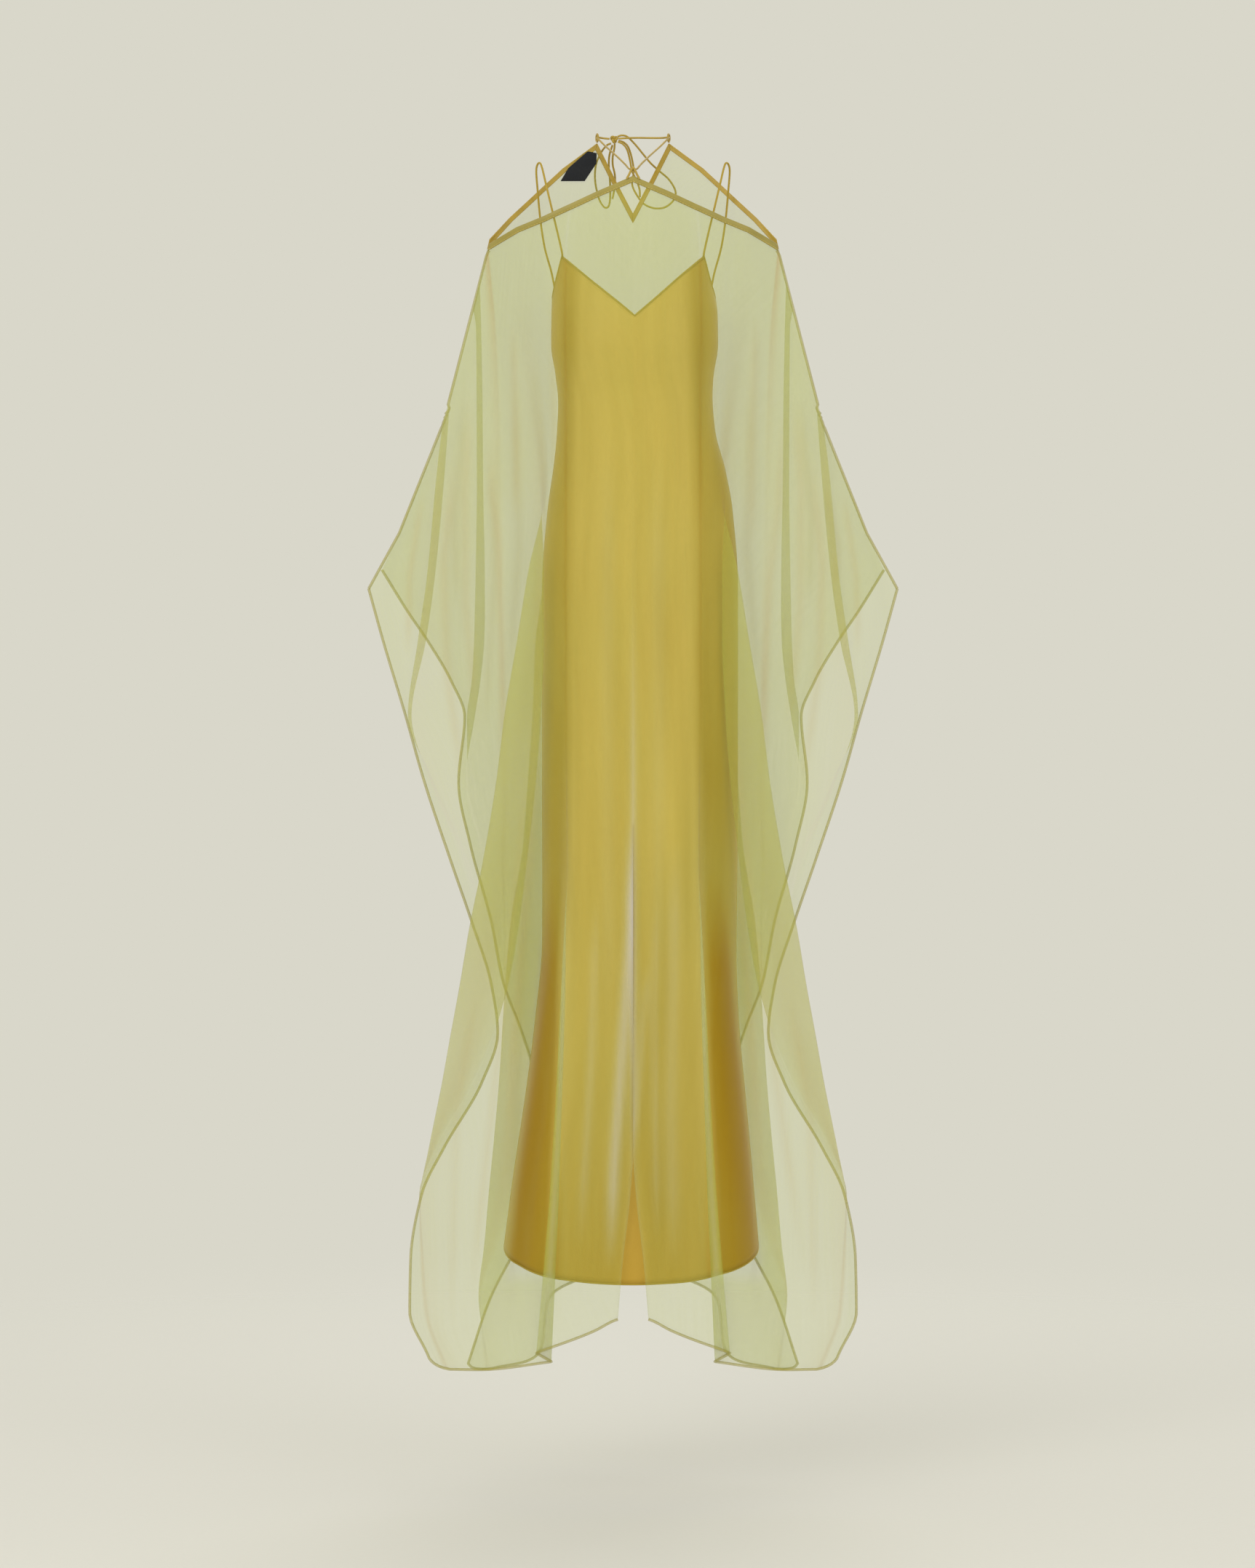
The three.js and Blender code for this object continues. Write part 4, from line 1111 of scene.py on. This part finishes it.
# Label: blank, just inside the back panel
def panel_depth(halves, x, z):
    """Depth of a panel near a place, from the nearest points of its net."""
    net = halves[-1 if x < 0 else 1].reshape(-1, 3)
    far = np.hypot(net[:, 0] - x, net[:, 2] - z)
    return net[np.argsort(far)[:4], 1].mean()


corners = np.array([
    [[x * MM, panel_depth(back_halves, x * MM, z * MM) - LABEL_LIFT, z * MM] for x, z in row]
    for row in LABEL_ROWS
])
down = np.linspace(0, len(corners) - 1, LABEL_GRID[0])
edges = [
    np.array([np.interp(down, range(len(corners)), corners[:, end, axis]) for axis in range(3)]).T[:, None]
    for end in (0, 1)
]
across = np.linspace(0, 1, LABEL_GRID[1])[None, :, None]
label_net = edges[0] * (1 - across) + edges[1] * across
crown = np.sin(across[:, :, 0] * math.pi) * np.sin(down / down[-1] * math.pi)[:, None]
label_net[:, :, 1] -= LABEL_CROWN * crown
label = lay_cloth("label_blank", label_net)
thicken(label, LABEL_THICK)
round_edges(label, LABEL_BEVEL)
finish_piece(label, label_weave(), "label", "label")

# ---- Slip
# Tone of the painted shade on the slip's sides, which its hem darkens towards too
SLIP_SHADE_TONE = dye(166, 130, 22)
# The bright end of the satin's tone serves as painted sheen highlight
slip_satin = satin("slip_satin", dye(178, 147, 58), dye(228, 194, 104), SLIP_SHADE_TONE, 0.36)
slip_trim = satin("slip_trim", dye(156, 132, 46), dye(182, 156, 66), SLIP_SHADE_TONE, 0.34, 0.5)


def slip_top(share):
    """Height of the V neckline and armhole, by the share of the half width from centre to side."""
    rising = V_TIP + (STRAP_POINT - V_TIP) * share / STRAP_AT
    falling = STRAP_POINT + (UNDERARM - STRAP_POINT) * (share - STRAP_AT) / (1 - STRAP_AT)
    return np.where(share < STRAP_AT, rising, falling)


def slip_net(facing):
    sections = np.array(SLIP_SECTIONS, float)
    turn = np.linspace(-math.pi / 2, math.pi / 2, SLIP_COLUMNS + 1)
    across = np.abs(np.sin(turn))
    power = 2 / SLIP_ROUNDNESS
    top = slip_top(across**power) if facing < 0 else UNDERARM - BACK_DIP * (1 - across**2)
    dip = SLIP_FRONT_DIP if facing < 0 else SLIP_BACK_DIP
    bottom = SLIP_SIDE_HEM - dip * np.cos(turn)
    z = top + (bottom - top) * np.linspace(0, 1, SLIP_ROWS + 1)[:, None]
    centre, half, front, back = (
        smooth_at(-sections[:, 0], sections[:, i], -z.ravel()).reshape(z.shape) for i in range(1, 5)
    )
    depth = front if facing < 0 else back
    away = np.zeros(z.shape)
    for face, top_turn, end_turn, start, end, lift, width in SLIP_DRAPES:
        if face != facing:
            continue
        run = np.clip((start - z) / (start - end), 0, 1)
        line = top_turn + (end_turn - top_turn) * run
        fade = np.clip(run * 5, 0, 1) * (0.6 + 0.4 * run)
        away += lift * fade * np.exp(-(((np.degrees(turn) - line) / width) ** 2))
    x = centre + np.sign(turn) * (half * across**power + away * across)
    y = facing * (depth + away) * np.maximum(np.cos(turn), 0) ** power
    net = np.stack([x, y, z], axis=2) * MM
    return net if facing < 0 else net[:, ::-1]


def slip_shade_and_hem_darkening(net):
    """How much painted shade each place of the slip gets where it turns from the light: its sides, more of
    them lower down, and soft patches on its front; it also grows darker towards the hem.
    """
    reach, level = np.abs(net[:, :, 0]), -net[:, :, 2]
    edge = np.interp(level, *np.array(SLIP_SIDES).T * MM)
    low = np.interp(level, *SLIP_SIDE_DEPTHS)
    side = np.clip((reach - edge) / SLIP_SIDE_BLEND + 0.5, 0, 1)
    # Darker towards the hem
    hem = np.clip((level - SLIP_HEM_FROM) / SLIP_HEM_SPAN, 0, 1)
    shade_and_hem_darkening = np.maximum(side * low, SLIP_HEM_DEPTH * hem)
    # Soft patches of painted shade on the front
    if net[:, :, 1].mean() < 0:
        for x, z, width, height, depth in SLIP_SHADES:
            near = ((net[:, :, 0] / MM - x) / width) ** 2 + ((net[:, :, 2] / MM - z) / height) ** 2
            shade_and_hem_darkening += depth * np.exp(-near) * (1 - shade_and_hem_darkening)
    return shade_and_hem_darkening


slip_nets = {facing: slip_net(facing) for facing in (-1, 1)}
# Slip front and back, each with its painted shade and hem darkening as a mark
for facing, word in FACES:
    piece = lay_cloth(f"slip_{word}_satin", slip_nets[facing], {"shade_and_hem_darkening": slip_shade_and_hem_darkening(slip_nets[facing])})
    thicken(piece, SATIN_THICK)
    finish_piece(piece, slip_satin, "satin", f"slip_{word}")

for facing, word in FACES:
    net = slip_nets[facing]
    for part, line, radius in (("edge", net[0], SLIP_EDGE_RADIUS), ("hem", net[-1], SLIP_HEM_RADIUS)):
        edging(f"slip_{word}_{part}", line, radius, slip_trim, "satin")
for column, word in ((0, "left"), (-1, "right")):
    edging(f"slip_seam_{word}", slip_nets[-1][:, column], SLIP_SEAM_RADIUS, slip_trim, "satin")

for side, word in SIDES:
    line = route([STRAP_SEAM, *STRAP_ROUTE]) * (side, 1, 1)
    edging(f"strap_{word}", line, STRAP / 2, slip_trim, "satin", f"slip_strap_{word}")

# ---- Floor
alone()
bpy.ops.mesh.primitive_circle_add(vertices=96, radius=FLOOR_RADIUS, fill_type="NGON", location=(0, 0, 0))
floor = bpy.context.object
floor.name = "floor"
floor.location = (0, 0, FLOOR_LEVEL)
floor.data.materials.append(floor_paper())
